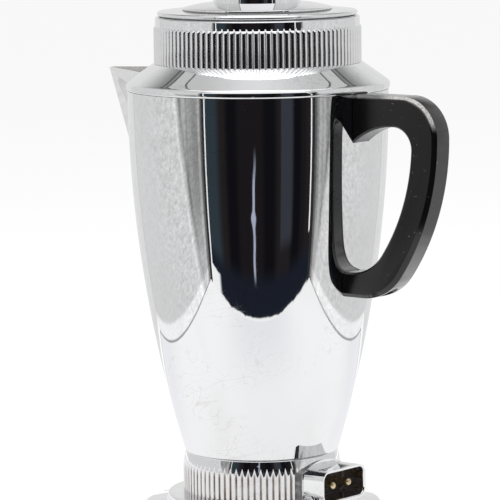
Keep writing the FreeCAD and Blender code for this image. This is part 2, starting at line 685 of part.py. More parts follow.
tube_bore = stem_r + slide_play
basket_top_z = basket_low_z + basket_height
basket_floor_z = basket_low_z + basket_wall
tube_top_z = basket_top_z - spreader_rim_depth
coffee_basket = spin(face_of(
    at(tube_bore, basket_low_z), at(basket_r, basket_low_z), at(basket_r, basket_top_z - basket_wall),
    at(basket_r + basket_lip, basket_top_z - basket_wall), at(basket_r + basket_lip, basket_top_z),
    at(basket_r - basket_wall, basket_top_z), at(basket_r - basket_wall, basket_floor_z),
    at(tube_bore + basket_wall, basket_floor_z), at(tube_bore + basket_wall, tube_top_z),
    at(tube_bore, tube_top_z)))
coffee_basket = coffee_basket.cut(
    ring_of_holes(drain_hole_r, basket_hole_rings, basket_low_z - cut_past, basket_floor_z + cut_past))
spreader_low_z = basket_top_z + lift_gap
spreader_top_z = spreader_low_z + spreader_wall
rim_out_r = basket_r - basket_wall - slide_play
spreader_plate = spin(face_of(
    at(tube_bore, spreader_low_z), at(rim_out_r - spreader_wall, spreader_low_z),
    at(rim_out_r - spreader_wall, spreader_low_z - spreader_rim_depth),
    at(rim_out_r, spreader_low_z - spreader_rim_depth), at(rim_out_r, spreader_low_z),
    at(basket_r + basket_lip, spreader_low_z), at(basket_r + basket_lip, spreader_top_z),
    at(tube_bore, spreader_top_z)))
spreader_plate = spreader_plate.cut(
    ring_of_holes(drain_hole_r, spreader_hole_rings, spreader_low_z, spreader_top_z))

# Lid with its skirt and the drum that holds the glass

lid_low_z = neck_top_z + lift_gap
lid_rim_z = lid_low_z + lid_rim_height
bead = 0.3 * lid_rim_height
step_low_z = lid_rim_z + 0.2 * lid_step_height
step_top_z = lid_rim_z + lid_step_height
drum_low_z = step_top_z + lid_dome_rise
lid_hole_r = knob_neck_r + knob_play
under_rim_z = lid_rim_z - sheet
dome_middle_r = (lid_step_r + drum_r) / 2
dome_middle_z = step_top_z + 0.65 * lid_dome_rise
lid = spin(face_of(
    at(mouth_r, lid_low_z), at(lid_rim_r - bead, lid_low_z),
    (at(lid_rim_r - 0.3 * bead, lid_low_z + 0.3 * bead), at(lid_rim_r, lid_low_z + bead)),
    at(lid_rim_r, lid_rim_z - bead),
    (at(lid_rim_r - 0.3 * bead, lid_rim_z - 0.3 * bead), at(lid_rim_r - bead, lid_rim_z)),
    at(lid_step_r, step_low_z), at(lid_step_r, step_top_z - bead), at(lid_step_r - bead, step_top_z),
    (at(dome_middle_r, dome_middle_z), at(drum_r, drum_low_z)),
    at(lid_hole_r, drum_low_z), at(lid_hole_r, drum_low_z - sheet), at(drum_r - sheet, drum_low_z - sheet),
    (at(dome_middle_r - sheet, dome_middle_z - sheet), at(lid_step_r - sheet, step_top_z - sheet)),
    at(lid_step_r - sheet, under_rim_z), at(mouth_r, under_rim_z)))
skirt_r = mouth_r - lid_skirt_gap
lid_skirt = tube(skirt_r, skirt_r - lid_skirt_wall, lid_low_z - lid_skirt_depth, under_rim_z)
drum_top_z = drum_low_z + drum_height
knob_drum = spin(face_of(
    at(drum_r - drum_wall, drum_low_z), at(drum_r, drum_low_z), at(drum_r, drum_top_z - drum_wall),
    (at(drum_r - 0.3 * drum_wall, drum_top_z - 0.3 * drum_wall), at(drum_r - drum_wall, drum_top_z)),
    at(lid_hole_r, drum_top_z), at(lid_hole_r, drum_top_z - drum_wall),
    at(drum_r - drum_wall, drum_top_z - drum_wall)))


def sector(radius, angle, low, high, facing):
    """A wedge of a disc, centred on a direction given in degrees."""
    wedge = Part.makeCylinder(radius, high - low, FreeCAD.Vector(0, 0, low), FreeCAD.Vector(0, 0, 1), angle)
    wedge.rotate(FreeCAD.Vector(0, 0, 0), FreeCAD.Vector(0, 0, 1), facing - angle / 2)
    return wedge


lug_r = knob_neck_r + knob_lug_reach
for facing in (90, 270):
    knob_drum = knob_drum.cut(sector(lug_r + knob_play, knob_notch_angle, drum_top_z - 2 * drum_wall,
                                     drum_top_z, facing))

# Glass knob with its two lugs

lug_top_z = drum_top_z - drum_wall - knob_play
knob_low_z = lug_top_z - knob_lug_height
knob_seat_z = drum_top_z + lift_gap
knob_r = drum_r - drum_wall - joint_gap
dome_top_z = knob_seat_z + knob_height
dome_side_z = dome_top_z - knob_r
bore_r = knob_neck_r - knob_wall
eighth = math.sqrt(0.5)
glass_knob = spin(face_of(
    at(bore_r, knob_low_z), at(knob_neck_r, knob_low_z), at(knob_neck_r, knob_seat_z),
    at(knob_r, knob_seat_z), at(knob_r, dome_side_z),
    (at(eighth * knob_r, dome_side_z + eighth * knob_r), at(0, dome_top_z)),
    at(0, dome_side_z + bore_r),
    (at(eighth * bore_r, dome_side_z + eighth * bore_r), at(bore_r, dome_side_z))))
for facing in (0, 180):
    lug = sector(lug_r, knob_lug_angle, knob_low_z, lug_top_z, facing).cut(
        tube(knob_neck_r - 0.5 * knob_wall, 0, knob_low_z, lug_top_z))
    glass_knob = glass_knob.fuse(lug)
glass_knob = glass_knob.removeSplitter()

save("body_shell", body_shell)
save("shoulder", shoulder)
save("neck_collar", neck_collar)
save("spout", spout)
save("handle", handle)
save("handle_upper_screw", upper_screw)
save("handle_seal_washer", upper_washer)
save("handle_insert", handle_insert)
save("handle_lower_stud", lower_stud)
save("handle_lower_washer", lower_washer)
save("handle_lower_screw", lower_screw)
save("vessel_floor", vessel_floor)
save("base_ring", base_ring)
save("foot", foot)
save("bottom_cover", bottom_cover)
save("base_pad", base_pad)
save("base_stud", base_stud)
save("base_washer", base_washer)
save("base_nut", base_nut)
save("heat_shield", heat_shield)
save("inlet_shroud", inlet_shroud)
save("inlet_insulator", insulator)
save("inlet_pins", Part.makeCompound(pins))
save("pin_nuts", Part.makeCompound(pin_nuts))
save("supply_strips", Part.makeCompound(strips))
save("heater_band", heater_band)
save("heater_clamp", heater_clamp)
save("clamp_screw", clamp_screw)
save("clamp_nut", clamp_nut)
save("valve_seat", valve_seat)
save("pump_bell", pump_bell)
save("pump_stem", pump_stem)
save("pump_valve", pump_valve)
save("stem_stop", stem_stop)
save("coffee_basket", coffee_basket)
save("spreader_plate", spreader_plate)
save("lid", lid)
save("lid_skirt", lid_skirt)
save("knob_drum", knob_drum)
save("glass_knob", glass_knob)
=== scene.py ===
import math
import bmesh
import bpy
from mathutils import Matrix, Vector


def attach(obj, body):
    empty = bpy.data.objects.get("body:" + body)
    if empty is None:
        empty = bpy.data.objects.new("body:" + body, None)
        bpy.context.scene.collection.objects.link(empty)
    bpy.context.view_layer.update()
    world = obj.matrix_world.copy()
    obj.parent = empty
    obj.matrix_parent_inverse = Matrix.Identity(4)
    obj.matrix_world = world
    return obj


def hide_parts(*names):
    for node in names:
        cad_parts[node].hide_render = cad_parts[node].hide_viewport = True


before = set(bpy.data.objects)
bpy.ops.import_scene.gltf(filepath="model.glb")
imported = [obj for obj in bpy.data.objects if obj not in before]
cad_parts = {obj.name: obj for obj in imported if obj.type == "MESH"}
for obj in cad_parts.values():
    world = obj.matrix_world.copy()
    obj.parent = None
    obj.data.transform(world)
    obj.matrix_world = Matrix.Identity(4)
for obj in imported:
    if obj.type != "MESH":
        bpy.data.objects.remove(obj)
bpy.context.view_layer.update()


# Pot body: a tall cup of spun sheet metal that bows out a little towards its upright top edge.
# It is chrome plated and polished, and decades of wiping have left hairline scratches and a faint haze.
# Rows of holes punched through the wall behind the spout hold the coffee grounds back.

# Sizes of the pot's pieces are in millimetres. MM turns them into metres, which meshes and finishes use.
MM = 0.001
WELD = 1e-6


class Tone:
    """A value or colour in a finish. Arithmetic on tones adds Math nodes to the finish."""

    def __init__(self, tree, socket=None):
        self.tree = tree
        self.socket = socket

    def node(self, kind, settings=None, feeds=None, out=0):
        """One node: its settings first, then what its sockets take. Gives the chosen output."""
        made = self.tree.nodes.new(kind)
        for key, value in (settings or {}).items():
            setattr(made, key, value)
        for key, value in (feeds or {}).items():
            if isinstance(value, Tone):
                self.tree.links.new(value.socket, made.inputs[key])
            else:
                made.inputs[key].default_value = value
        return Tone(self.tree, made.outputs[out]) if made.outputs else made

    def math(self, operation, *values):
        return self.node("ShaderNodeMath", {"operation": operation}, dict(enumerate(values)))

    def __add__(self, other):
        return self.math("ADD", self, other)

    def __sub__(self, other):
        return self.math("SUBTRACT", self, other)

    def __rsub__(self, other):
        return self.math("SUBTRACT", other, self)

    def __mul__(self, other):
        return self.math("MULTIPLY", self, other)

    def __abs__(self):
        return self.math("ABSOLUTE", self)

    __radd__ = __add__
    __rmul__ = __mul__

    def capped(self):
        """The value, or 1 where it is more."""
        return self.math("MINIMUM", self, 1.0)

    def between(self, low, high):
        """0 at low, 1 at high, with soft ends."""
        return self.node("ShaderNodeMapRange", {"interpolation_type": "SMOOTHSTEP"},
                         {"Value": self, "From Min": low, "From Max": high})

    def below(self, low, high):
        """1 at low, 0 at high, with soft ends."""
        return 1 - self.between(low, high)

    def near(self, spot, width):
        """1 at a spot, and 0 from a width away on."""
        return abs(self - spot).below(0.0, width)

    def tint(self, first, second):
        """A colour from first to second as this value goes from 0 to 1."""
        return self.node("ShaderNodeMix", {"data_type": "RGBA"},
                         {"Factor": self, "A": first, "B": second}, out=2)


def cloud(place, scale, detail=3.0, stretch=(1, 1, 1), turn=(0, 0, 0), rough=0.5):
    """Soft random blotches, as a value round a half."""
    laid = place.node("ShaderNodeMapping", feeds={"Vector": place, "Scale": stretch, "Rotation": turn})
    return place.node("ShaderNodeTexNoise", feeds={"Vector": laid, "Scale": scale, "Detail": detail,
                                                   "Roughness": rough})


def new_finish(name):
    """An empty finish, and where a point lies on its piece, in metres from the pot's axis and the table."""
    finish = bpy.data.materials.new(name)
    finish.use_nodes = True
    finish.node_tree.nodes.clear()
    return finish, Tone(finish.node_tree).node("ShaderNodeTexCoord", out="Object")


def coat(finish, place, fixed, feeds, bump):
    """Ends a finish with its surface: fixed numbers, sockets that are fed by tones,
    and a fine relief given as its height and its depth in metres."""
    height, depth = bump
    relief = place.node("ShaderNodeBump", feeds={"Height": height, "Distance": depth, "Strength": 1.0})
    surface = place.node("ShaderNodeBsdfPrincipled", feeds={**fixed, **feeds, "Normal": relief})
    place.node("ShaderNodeOutputMaterial", feeds={"Surface": surface})
    return finish


CHROME_TINT = (0.85, 0.855, 0.865, 1)
CHROME_HAZE = (0.73, 0.725, 0.72, 1)
CHROME_ROUGH = 0.022
DRIED_COFFEE = (0.16, 0.095, 0.05, 1)
COFFEE_FILM = (0.46, 0.40, 0.33, 1)

# Each set of hairlines has its own scale, turn and width.
HAIRLINES = (
    (150.0, (0.8, 0.3, 0.6), 0.014),
    (190.0, (-0.9, 0.4, 0.6), 0.012),
    (120.0, (0.2, 1.3, 0.5), 0.012))
HAIR_LENGTH = 13


def scratches(place, scale, turn, width):
    """Sparse hairlines that wander in one direction: 1 on a line and 0 off it."""
    laid = place.node("ShaderNodeMapping", {"vector_type": "TEXTURE"},
                      {"Vector": place, "Rotation": turn, "Scale": (1, 1, HAIR_LENGTH)})
    lines = cloud(laid, scale, detail=1.0)
    worn = cloud(place, 26.0, detail=2.0)
    return lines.near(0.5, width) * worn.between(0.44, 0.60)


def plated_chrome(name, haze=0.5, dirt_and_shade=None, dirt_and_shade_tint=DRIED_COFFEE):
    """Polished chrome plate: a clear mirror, hairline scratches, and a haze in patches.
    Dirt_and_shade is an extra mask of dull film over the plate, worked out from a place, for dirt and
    painted shade."""
    finish, place = new_finish(name)
    patch = cloud(place, 18.0, detail=5.0).between(0.45, 0.75)
    smear = cloud(place, 60.0, detail=3.0, stretch=(1, 1, 0.25)).between(0.5, 0.8)
    hair = sum(scratches(place, *kind) for kind in HAIRLINES)
    rubbed = patch * haze * 0.6 + smear * haze * 0.5 + hair * 0.55
    tint = rubbed.capped().tint(CHROME_TINT, CHROME_HAZE)
    rough = CHROME_ROUGH + patch * (0.03 * haze) + smear * (0.03 * haze) + hair * 0.04
    metal = 1.0
    if dirt_and_shade:
        # On the lid and on the inlet's root this film is painted shade, not dirt.
        film = dirt_and_shade(place)
        tint = film.tint(tint, dirt_and_shade_tint)
        rough = rough + film * 0.4
        metal = 1 - film
    ripple = cloud(place, 45.0, detail=2.0)
    return coat(finish, place, {}, {"Base Color": tint, "Roughness": rough, "Metallic": metal},
                bump=(ripple, 0.00002))


ROUND_CUTS = 6
LONG_SIDE, HOLDING_ROW = 1.5, 0.3


def turned(corners, rounds=None, bows=None, steps=160, cuts=12):
    """A closed outline of (radius, height) corners in millimetres, spun round the pot's axis.
    Rounds gives corners a radius. Bows swells the side after a corner, outwards when positive.
    A long side next to a round gets a row close to it, which keeps the side's shading flat."""
    shape = bmesh.new()
    spots = [shape.verts.new((r * MM, 0, z * MM)) for r, z in corners]
    sides = [shape.edges.new(ends) for ends in zip(spots, spots[1:] + spots[:1])]
    for k, swell in (bows or {}).items():
        start, end = spots[k].co.copy(), spots[(k + 1) % len(spots)].co.copy()
        chord = end - start
        out = Vector((chord.z, 0, -chord.x)).normalized()
        swell = swell * MM
        radius = (chord.length_squared / 4 + swell ** 2) / (2 * swell)
        reach = math.asin(chord.length / 2 / radius)
        side, last = sides[k], spots[k]
        for cut in range(1, cuts + 1):
            side, last = bmesh.utils.edge_split(side, last, 1 / (cuts + 2 - cut))
            turn = (2 * cut / (cuts + 1) - 1) * reach
            across = radius * math.cos(turn) - radius + swell
            last.co = (start + end) / 2 + out * across + chord.normalized() * radius * math.sin(turn)
            side = next(e for e in last.link_edges if e.other_vert(last).co == end)
    for k, radius in (rounds or {}).items():
        made = bmesh.ops.bevel(shape, geom=[spots[k]], offset=radius * MM, offset_type="OFFSET",
                               segments=ROUND_CUTS, profile=0.5, affect="VERTICES", material=-1)["verts"]
        for side in {e for spot in made for e in spot.link_edges if e.calc_length() > LONG_SIDE * MM}:
            near = next(v for v in side.verts if v in made)
            bmesh.utils.edge_split(side, near, HOLDING_ROW * MM / side.calc_length())
    bmesh.ops.spin(shape, geom=shape.verts[:] + shape.edges[:], cent=(0, 0, 0), axis=(0, 0, 1),
                   dvec=(0, 0, 0), angle=2 * math.pi, steps=steps, use_merge=True, use_duplicate=False)
    return shape


def piece_of(shape, name, finish, body, nodes, crease=30.0, recalc=True):
    """Closes a shape, gives it its finish, and hangs it on its body in place of CAD nodes."""
    bmesh.ops.remove_doubles(shape, verts=shape.verts[:], dist=WELD)
    if recalc:
        bmesh.ops.recalc_face_normals(shape, faces=shape.faces[:])
    mesh = bpy.data.meshes.new(name)
    shape.to_mesh(mesh)
    shape.free()
    mesh.shade_smooth()
    mesh.set_sharp_from_angle(angle=math.radians(crease))
    piece = bpy.data.objects.new(name, mesh)
    bpy.context.scene.collection.objects.link(piece)
    piece.data.materials.append(finish)
    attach(piece, body)
    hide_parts(*nodes)
    return piece


def cut_with(piece, cutter, crease=30.0, operation="DIFFERENCE"):
    """Takes a cutter's shape out of a piece, or adds it, for good."""
    bmesh.ops.remove_doubles(cutter, verts=cutter.verts[:], dist=WELD)
    bmesh.ops.recalc_face_normals(cutter, faces=cutter.faces[:])
    mesh = bpy.data.meshes.new("cutter")
    cutter.to_mesh(mesh)
    cutter.free()
    tool = bpy.data.objects.new("cutter", mesh)
    bpy.context.scene.collection.objects.link(tool)
    step = piece.modifiers.new("cut", "BOOLEAN")
    step.operation = operation
    step.solver = "EXACT"
    step.object = tool
    result = piece.evaluated_get(bpy.context.evaluated_depsgraph_get())
    kept = bpy.data.meshes.new_from_object(result)
    piece.modifiers.clear()
    piece.data = kept
    kept.shade_smooth()
    kept.set_sharp_from_angle(angle=math.radians(crease))
    bpy.data.objects.remove(tool)


def rod_into(shape, radius, start, end, sides=24):
    """Adds a round rod between two points in millimetres."""
    start, end = Vector(start) * MM, Vector(end) * MM
    way = end - start
    pose = Matrix.Translation((start + end) / 2) @ way.to_track_quat("Z", "Y").to_matrix().to_4x4()
    bmesh.ops.create_cone(shape, cap_ends=True, segments=sides, radius1=radius * MM, radius2=radius * MM,
                          depth=way.length, matrix=pose)


def mark_inside(piece, middle=lambda z: 0.0):
    """Marks a piece's faces that look in towards its middle, where coffee has dulled the plate.
    Middle gives the x of a line inside the piece at a height, in metres."""
    marks = piece.data.attributes.new("inside", "FLOAT", "FACE")
    for face, mark in zip(piece.data.polygons, marks.data):
        inward = face.normal.x * (face.center.x - middle(face.center.z)) + face.normal.y * face.center.y
        mark.value = float(inward < -MM)


def inside_mark(place):
    """1 on the faces that mark_inside marks, and 0 elsewhere."""
    return place.node("ShaderNodeAttribute", {"attribute_name": "inside"}, out="Fac")


SHEET = 1.2
BODY_TOP_R, BODY_TOP_Z = 66.6, 219.0
BODY_FOOT_R, BODY_FOOT_Z = 39.4, 33.3
BODY_BOW = 6.77
STRAINER_ROWS, STRAINER_LOW, STRAINER_PITCH = 5, 181.0, 6.0
STRAINER_HOLE_R, PUNCH_START, PUNCH_END = 1.8, -72.0, -58.0

pot_chrome = plated_chrome("pot_chrome", dirt_and_shade=inside_mark, dirt_and_shade_tint=COFFEE_FILM)
body_shape = turned([(BODY_FOOT_R, BODY_FOOT_Z), (BODY_TOP_R, BODY_TOP_Z), (BODY_TOP_R - SHEET, BODY_TOP_Z),
                     (BODY_FOOT_R - SHEET, BODY_FOOT_Z)],
                    rounds={0: 0.7}, bows={0: BODY_BOW, 2: -BODY_BOW}, steps=256, cuts=40)
pot_body = piece_of(body_shape, "pot_body", pot_chrome, "pot", ["body_shell"])
punches = bmesh.new()
for row in range(STRAINER_ROWS):
    hole_z = STRAINER_LOW + STRAINER_PITCH * row
    count = 2 + row // 2
    for k in range(count):
        hole_y = (k - (count - 1) / 2) * STRAINER_PITCH
        rod_into(punches, STRAINER_HOLE_R, (PUNCH_START, hole_y, hole_z), (PUNCH_END, hole_y, hole_z))
cut_with(pot_body, punches)
mark_inside(pot_body)


# Shoulder: a spun and plated cone whose rolled rim grips the body's top edge.
# Its short upright neck is the pot's mouth, and a level land on the cone carries the reeded collar.

RIM_R, RIM_TOP = 67.3, 222.4
GRIP_R, GRIP_TOP = 64.8, 223.2
ROLL_R, ROLL_Z = 64.9, 224.42
LAND_R, LAND_Z = 53.3, 232.43
CONE_DROP = 1.45
MOUTH_R, NECK_TOP = 49.0, 256.33

shoulder_shape = turned([(GRIP_R, BODY_TOP_Z), (RIM_R, BODY_TOP_Z), (RIM_R, RIM_TOP), (ROLL_R, ROLL_Z),
                         (LAND_R, LAND_Z), (MOUTH_R + SHEET, LAND_Z), (MOUTH_R + SHEET, NECK_TOP),
                         (MOUTH_R, NECK_TOP), (MOUTH_R, LAND_Z - SHEET), (LAND_R, LAND_Z - CONE_DROP),
                         (GRIP_R, GRIP_TOP)],
                        rounds={1: 1.3, 2: 1.0, 3: 14.0, 4: 0.4, 6: 0.4, 7: 0.4}, steps=256)
mark_inside(piece_of(shoulder_shape, "pot_shoulder", pot_chrome, "pot", ["shoulder"]))


# Reeded collar: a pressed and plated band round the neck with just over a hundred upright half-round reeds.
# Each reed ends in a rounded tip below the plain upper band, which leans in towards the lid.

JOINT_GAP = 0.15
COLLAR_BORE = MOUTH_R + SHEET + JOINT_GAP
COLLAR_CREST, COLLAR_DEPTH, COLLAR_REEDS = 52.9, 0.75, 105
COLLAR_VALLEY = COLLAR_CREST - COLLAR_DEPTH
REED_HEIGHT, REED_TIP, TIP_ROWS, REED_CUTS = 18.9, 1.5, 5, 10
REED_TOP = LAND_Z + REED_HEIGHT

# Rows going up: the rise to each, with the share of a reed's depth or the radius that it has there.
ROOT_SHARE = 0.55
ROOT_ROWS = ((0.35, 0.85), (0.45, 1.0))
BAND_ROWS = ((1.5, 52.13), (2.65, 52.08), (0.2, 52.06), (0.2, 51.95), (0.15, 51.7))


def reed_line(shape, crest, depth, count, z, cuts):
    """Half-round outline of one reed, from valley to valley, at a height. Gives its edges."""
    valley = crest - depth
    half = math.pi / count
    run = valley * math.sin(half)
    rise = crest - valley * math.cos(half)
    radius = (run ** 2 + rise ** 2) / (2 * rise)
    reach = math.asin(run / radius)
    start = shape.verts.new((valley * math.cos(half) * MM, -run * MM, z * MM))
    bmesh.ops.spin(shape, geom=[start], cent=((crest - radius) * MM, 0, z * MM), axis=(0, 0, 1),
                   dvec=(0, 0, 0), angle=2 * reach, steps=cuts, use_merge=False, use_duplicate=False)
    return shape.edges[:]


def pull_up(shape, edges, rise):
    """Extrudes a line upwards by a rise in millimetres. Gives the new line's vertices and edges."""
    grown = bmesh.ops.extrude_edge_only(shape, edges=edges)["geom"]
    spots = [g for g in grown if isinstance(g, bmesh.types.BMVert)]
    bmesh.ops.translate(shape, verts=spots, vec=(0, 0, rise * MM))
    lines = [g for g in grown if isinstance(g, bmesh.types.BMEdge)
             and all(v in spots for v in g.verts)]
    return spots, lines


def set_radius(spot, radius):
    """Moves a vertex straight in or out to a distance in metres from the pot's axis."""
    now = math.hypot(spot.co.x, spot.co.y)
    spot.co.x *= radius / now
    spot.co.y *= radius / now


def ring_round(shape, count):
    """Repeats a slice round the pot's axis until it closes."""
    bmesh.ops.spin(shape, geom=shape.verts[:] + shape.edges[:] + shape.faces[:], cent=(0, 0, 0),
                   axis=(0, 0, 1), dvec=(0, 0, 0), angle=2 * math.pi * (count - 1) / count,
                   steps=count - 1, use_merge=False, use_duplicate=True)
    bmesh.ops.remove_doubles(shape, verts=shape.verts[:], dist=WELD)


def close_inside(shape, bore):
    """Draws both open edges of a ring in to its bore and joins them there."""
    open_edges = [e for e in shape.edges if e.is_boundary]
    grown = bmesh.ops.extrude_edge_only(shape, edges=open_edges)["geom"]
    for spot in [g for g in grown if isinstance(g, bmesh.types.BMVert)]:
        set_radius(spot, bore * MM)
    bmesh.ops.bridge_loops(shape, edges=[e for e in shape.edges if e.is_boundary])


def split(place):
    """The three coordinates of a place, as tones."""
    parts = place.node("ShaderNodeSeparateXYZ", feeds={0: place}).socket.node
    return [Tone(place.tree, parts.outputs[k]) for k in range(3)]


def from_axis(place):
    """How far a place lies from the pot's axis, and its height, in metres."""
    x, y, z = split(place)
    squared = x * x + y * y
    return squared.math("SQRT", squared), z


def collar_dirt(place):
    """Dried brown film at the bottom of the grooves between the collar's reeds."""
    radius, z = from_axis(place)
    groove = radius.below((COLLAR_VALLEY + 0.05) * MM, (COLLAR_VALLEY + 0.43) * MM)
    low = z.below((REED_TOP - 2.33) * MM, (REED_TOP - 0.83) * MM)
    return groove * low * (0.35 + cloud(place, 55.0, detail=3.0).between(0.3, 0.75) * 0.6)


collar_shape = bmesh.new()
line = reed_line(collar_shape, COLLAR_CREST, COLLAR_DEPTH, COLLAR_REEDS, LAND_Z, REED_CUTS)
swells = {round(v.co.y, 7): math.hypot(v.co.x, v.co.y) - COLLAR_VALLEY * MM for v in collar_shape.verts}


def shape_reed(spots, share):
    """Gives a row of a reed's vertices a share of the reed's full depth."""
    for spot in spots:
        nearest = min(swells, key=lambda y: abs(y - spot.co.y))
        set_radius(spot, COLLAR_VALLEY * MM + share * swells[nearest])


shape_reed(collar_shape.verts[:], ROOT_SHARE)
straight = REED_HEIGHT - REED_TIP - sum(rise for rise, _ in ROOT_ROWS)
turns = [math.radians(90 * k / TIP_ROWS) for k in range(TIP_ROWS + 1)]
tip_rows = [(REED_TIP * (math.sin(b) - math.sin(a)), math.cos(b)) for a, b in zip(turns, turns[1:])]
for rise, share in [*ROOT_ROWS, (straight, 1.0), *tip_rows]:
    spots, line = pull_up(collar_shape, line, rise)
    shape_reed(spots, share)
for rise, radius in BAND_ROWS:
    spots, line = pull_up(collar_shape, line, rise)
    for spot in spots:
        set_radius(spot, radius * MM)
ring_round(collar_shape, COLLAR_REEDS)
close_inside(collar_shape, COLLAR_BORE)
piece_of(collar_shape, "reeded_collar", plated_chrome("collar_chrome", 0.4, collar_dirt), "pot",
         ["neck_collar"], crease=35.0)


# Spout: a beak of sheet metal folded round a narrow nose and soldered over the strainer holes.
# It is plated with the pot, its cut upper edge is ground round, and coffee has dulled its inside.

SPOUT_FILM = (0.66, 0.65, 0.63, 1)


def soften(piece, width, segments=3, angle=25.0):
    """Rounds a piece's sharp edges a little."""
    step = piece.modifiers.new("soft_edges", "BEVEL")
    step.width = width * MM
    step.segments = segments
    step.limit_method = "ANGLE"
    step.angle_limit = math.radians(angle)
    step.harden_normals = True


def copy_of(node, flat=0.3):
    """The merged mesh of a CAD node, to finish by hand. Faces that meet within flat degrees become one."""
    shape = bmesh.new()
    shape.from_mesh(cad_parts[node].data)
    bmesh.ops.remove_doubles(shape, verts=shape.verts[:], dist=WELD)
    bmesh.ops.dissolve_limit(shape, angle_limit=math.radians(flat), verts=shape.verts[:],
                             edges=shape.edges[:])
    return shape


def spout_middle(z):
    """The x of a line inside the spout, a little behind the pot's wall, at a height."""
    share = (z / MM - BODY_FOOT_Z) / (BODY_TOP_Z - BODY_FOOT_Z)
    return -(BODY_FOOT_R + share * (BODY_TOP_R - BODY_FOOT_R)) * MM


spout_chrome = plated_chrome("spout_chrome", dirt_and_shade=inside_mark, dirt_and_shade_tint=SPOUT_FILM)
spout = piece_of(copy_of("spout", flat=0.02), "pouring_spout", spout_chrome, "pot", ["spout"],
                 recalc=False)
mark_inside(spout, spout_middle)
soften(spout, 0.45)


# Handle: one flat D of black phenolic, moulded and then chamfered, with a shaped pad against the pot.
# A screw from inside the pot holds it at the top, and one sunk in its heel holds it below.

PHENOLIC_BLACK = (0.0035, 0.0032, 0.0035, 1)
PHENOLIC_PAINTED_SHEEN = (0.09, 0.089, 0.087, 1)
WORN_EDGE_AND_HIGHLIGHT = (0.80, 0.79, 0.77, 1)


def black_phenolic(name):
    """Hard black phenolic: near-black gloss dulled by handling, pale specks, painted sheen and highlights,
    and worn chamfers.
    """
    finish, place = new_finish(name)
    x, y, z = split(place)
    side = abs(y)
    rub = cloud(place, 1300.0, detail=4.0).between(0.25, 0.65)
    dull = cloud(place, 30.0, detail=4.0).between(0.35, 0.75)
    speck = cloud(place, 600.0, detail=1.0).between(0.73, 0.78)
    # The flat between the chamfers has a clear coat, and a painted sheen makes its colour lighter, most of
    # all at the heel.
    rim = side.below(0.0044, 0.0050) * (0.7 + dull * 0.3)
    heel = rim * z.between(0.117, 0.126) * z.below(0.126, 0.160)
    # The chamfers along the top are worn, and a pale highlight is painted on them, brighter further from the
    # pot.
    edge = side.between(0.0049, 0.0052) * side.below(0.0062, 0.0067) * z.between(0.2020, 0.2095)
    wear_and_painted_highlight = edge * (0.4 + rub * 0.6) * (0.3 + x.between(0.080, 0.092) * 0.7)
    gloss_and_painted_sheen = rim * 0.25 + heel * 0.75
    tone = (wear_and_painted_highlight * 0.8 + speck * 0.1).tint(gloss_and_painted_sheen.tint(PHENOLIC_BLACK, PHENOLIC_PAINTED_SHEEN), WORN_EDGE_AND_HIGHLIGHT)
    rough = 0.14 + dull * 0.08 - heel * 0.05 + wear_and_painted_highlight * 0.1 + speck * 0.2
    return coat(finish, place, {"IOR": 1.55, "Coat Roughness": 0.12},
                {"Base Color": tone, "Roughness": rough, "Coat Weight": gloss_and_painted_sheen},
                bump=(cloud(place, 900.0, detail=2.0) * 0.6 + rub * 0.4, 0.000010))


handle = piece_of(copy_of("handle"), "d_handle", black_phenolic("black_phenolic"), "pot",
                  ["handle"], recalc=False)
soften(handle, 0.4)


# Handle screws: plated steel, round headed and slotted, turned on a lathe.
# The upper one runs from inside the pot into a brass insert moulded in the handle.
# The lower one is sunk in the handle's heel and runs into a stud on the pot's wall.

PLATED_STEEL = (0.52, 0.52, 0.53)
TARNISH_SHARE = 0.72
HEEL_SHAFT_R, HEEL_TIP_OUT, HEEL_HEAD_OUT = 2.0, 2.4, 15.5
HEEL_HEAD_R, HEEL_HEAD_SIDE, HEEL_HEAD_HEIGHT = 2.9, 1.2, 2.4
HEEL_SPOT = Vector((59.59, 0, 124.0)) * MM
HEEL_TURN = Matrix.Rotation(math.radians(98.44), 3, "Y")
SLOT_SIZE = Vector((0.8, 8.0, 1.8)) * MM
SLOT_TURN = Matrix.Rotation(0.5, 3, "Z")


def turned_steel(name):
    """Plain plated steel with fine turning marks and dull patches."""
    finish, place = new_finish(name)
    dull = cloud(place, 90.0, detail=4.0).between(0.35, 0.75)
    marks = cloud(place, 900.0, detail=2.0, stretch=(1, 1, 0.1))
    tone = dull.tint((*PLATED_STEEL, 1), (*(TARNISH_SHARE * c for c in PLATED_STEEL), 1))
    return coat(finish, place, {"Metallic": 1.0},
                {"Base Color": tone, "Roughness": 0.28 + dull * 0.15 + marks * 0.1}, bump=(marks, 0.00001))


def mottled_brass(name):
    """Bare brass, tarnished in patches."""
    finish, place = new_finish(name)
    tarnish = cloud(place, 320.0, detail=4.0).between(0.4, 0.7)
    tone = tarnish.tint((0.80, 0.70, 0.48, 1), (0.50, 0.38, 0.20, 1))
    return coat(finish, place, {"Metallic": 1.0},
                {"Base Color": tone, "Roughness": 0.18 + tarnish * 0.25}, bump=(tarnish, 0.00001))


def lay_finish(finish, *nodes):
    """Gives CAD nodes that stay as they are their finish."""
    for node in nodes:
        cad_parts[node].data.materials.clear()
        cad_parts[node].data.materials.append(finish)


def lay_on_heel(shape):
    """Lays a shape that stands on the origin along the lower screw's line, square to the pot's wall."""
    bmesh.ops.rotate(shape, verts=shape.verts[:], cent=(0, 0, 0), matrix=HEEL_TURN)
    bmesh.ops.translate(shape, verts=shape.verts[:], vec=HEEL_SPOT)
    return shape


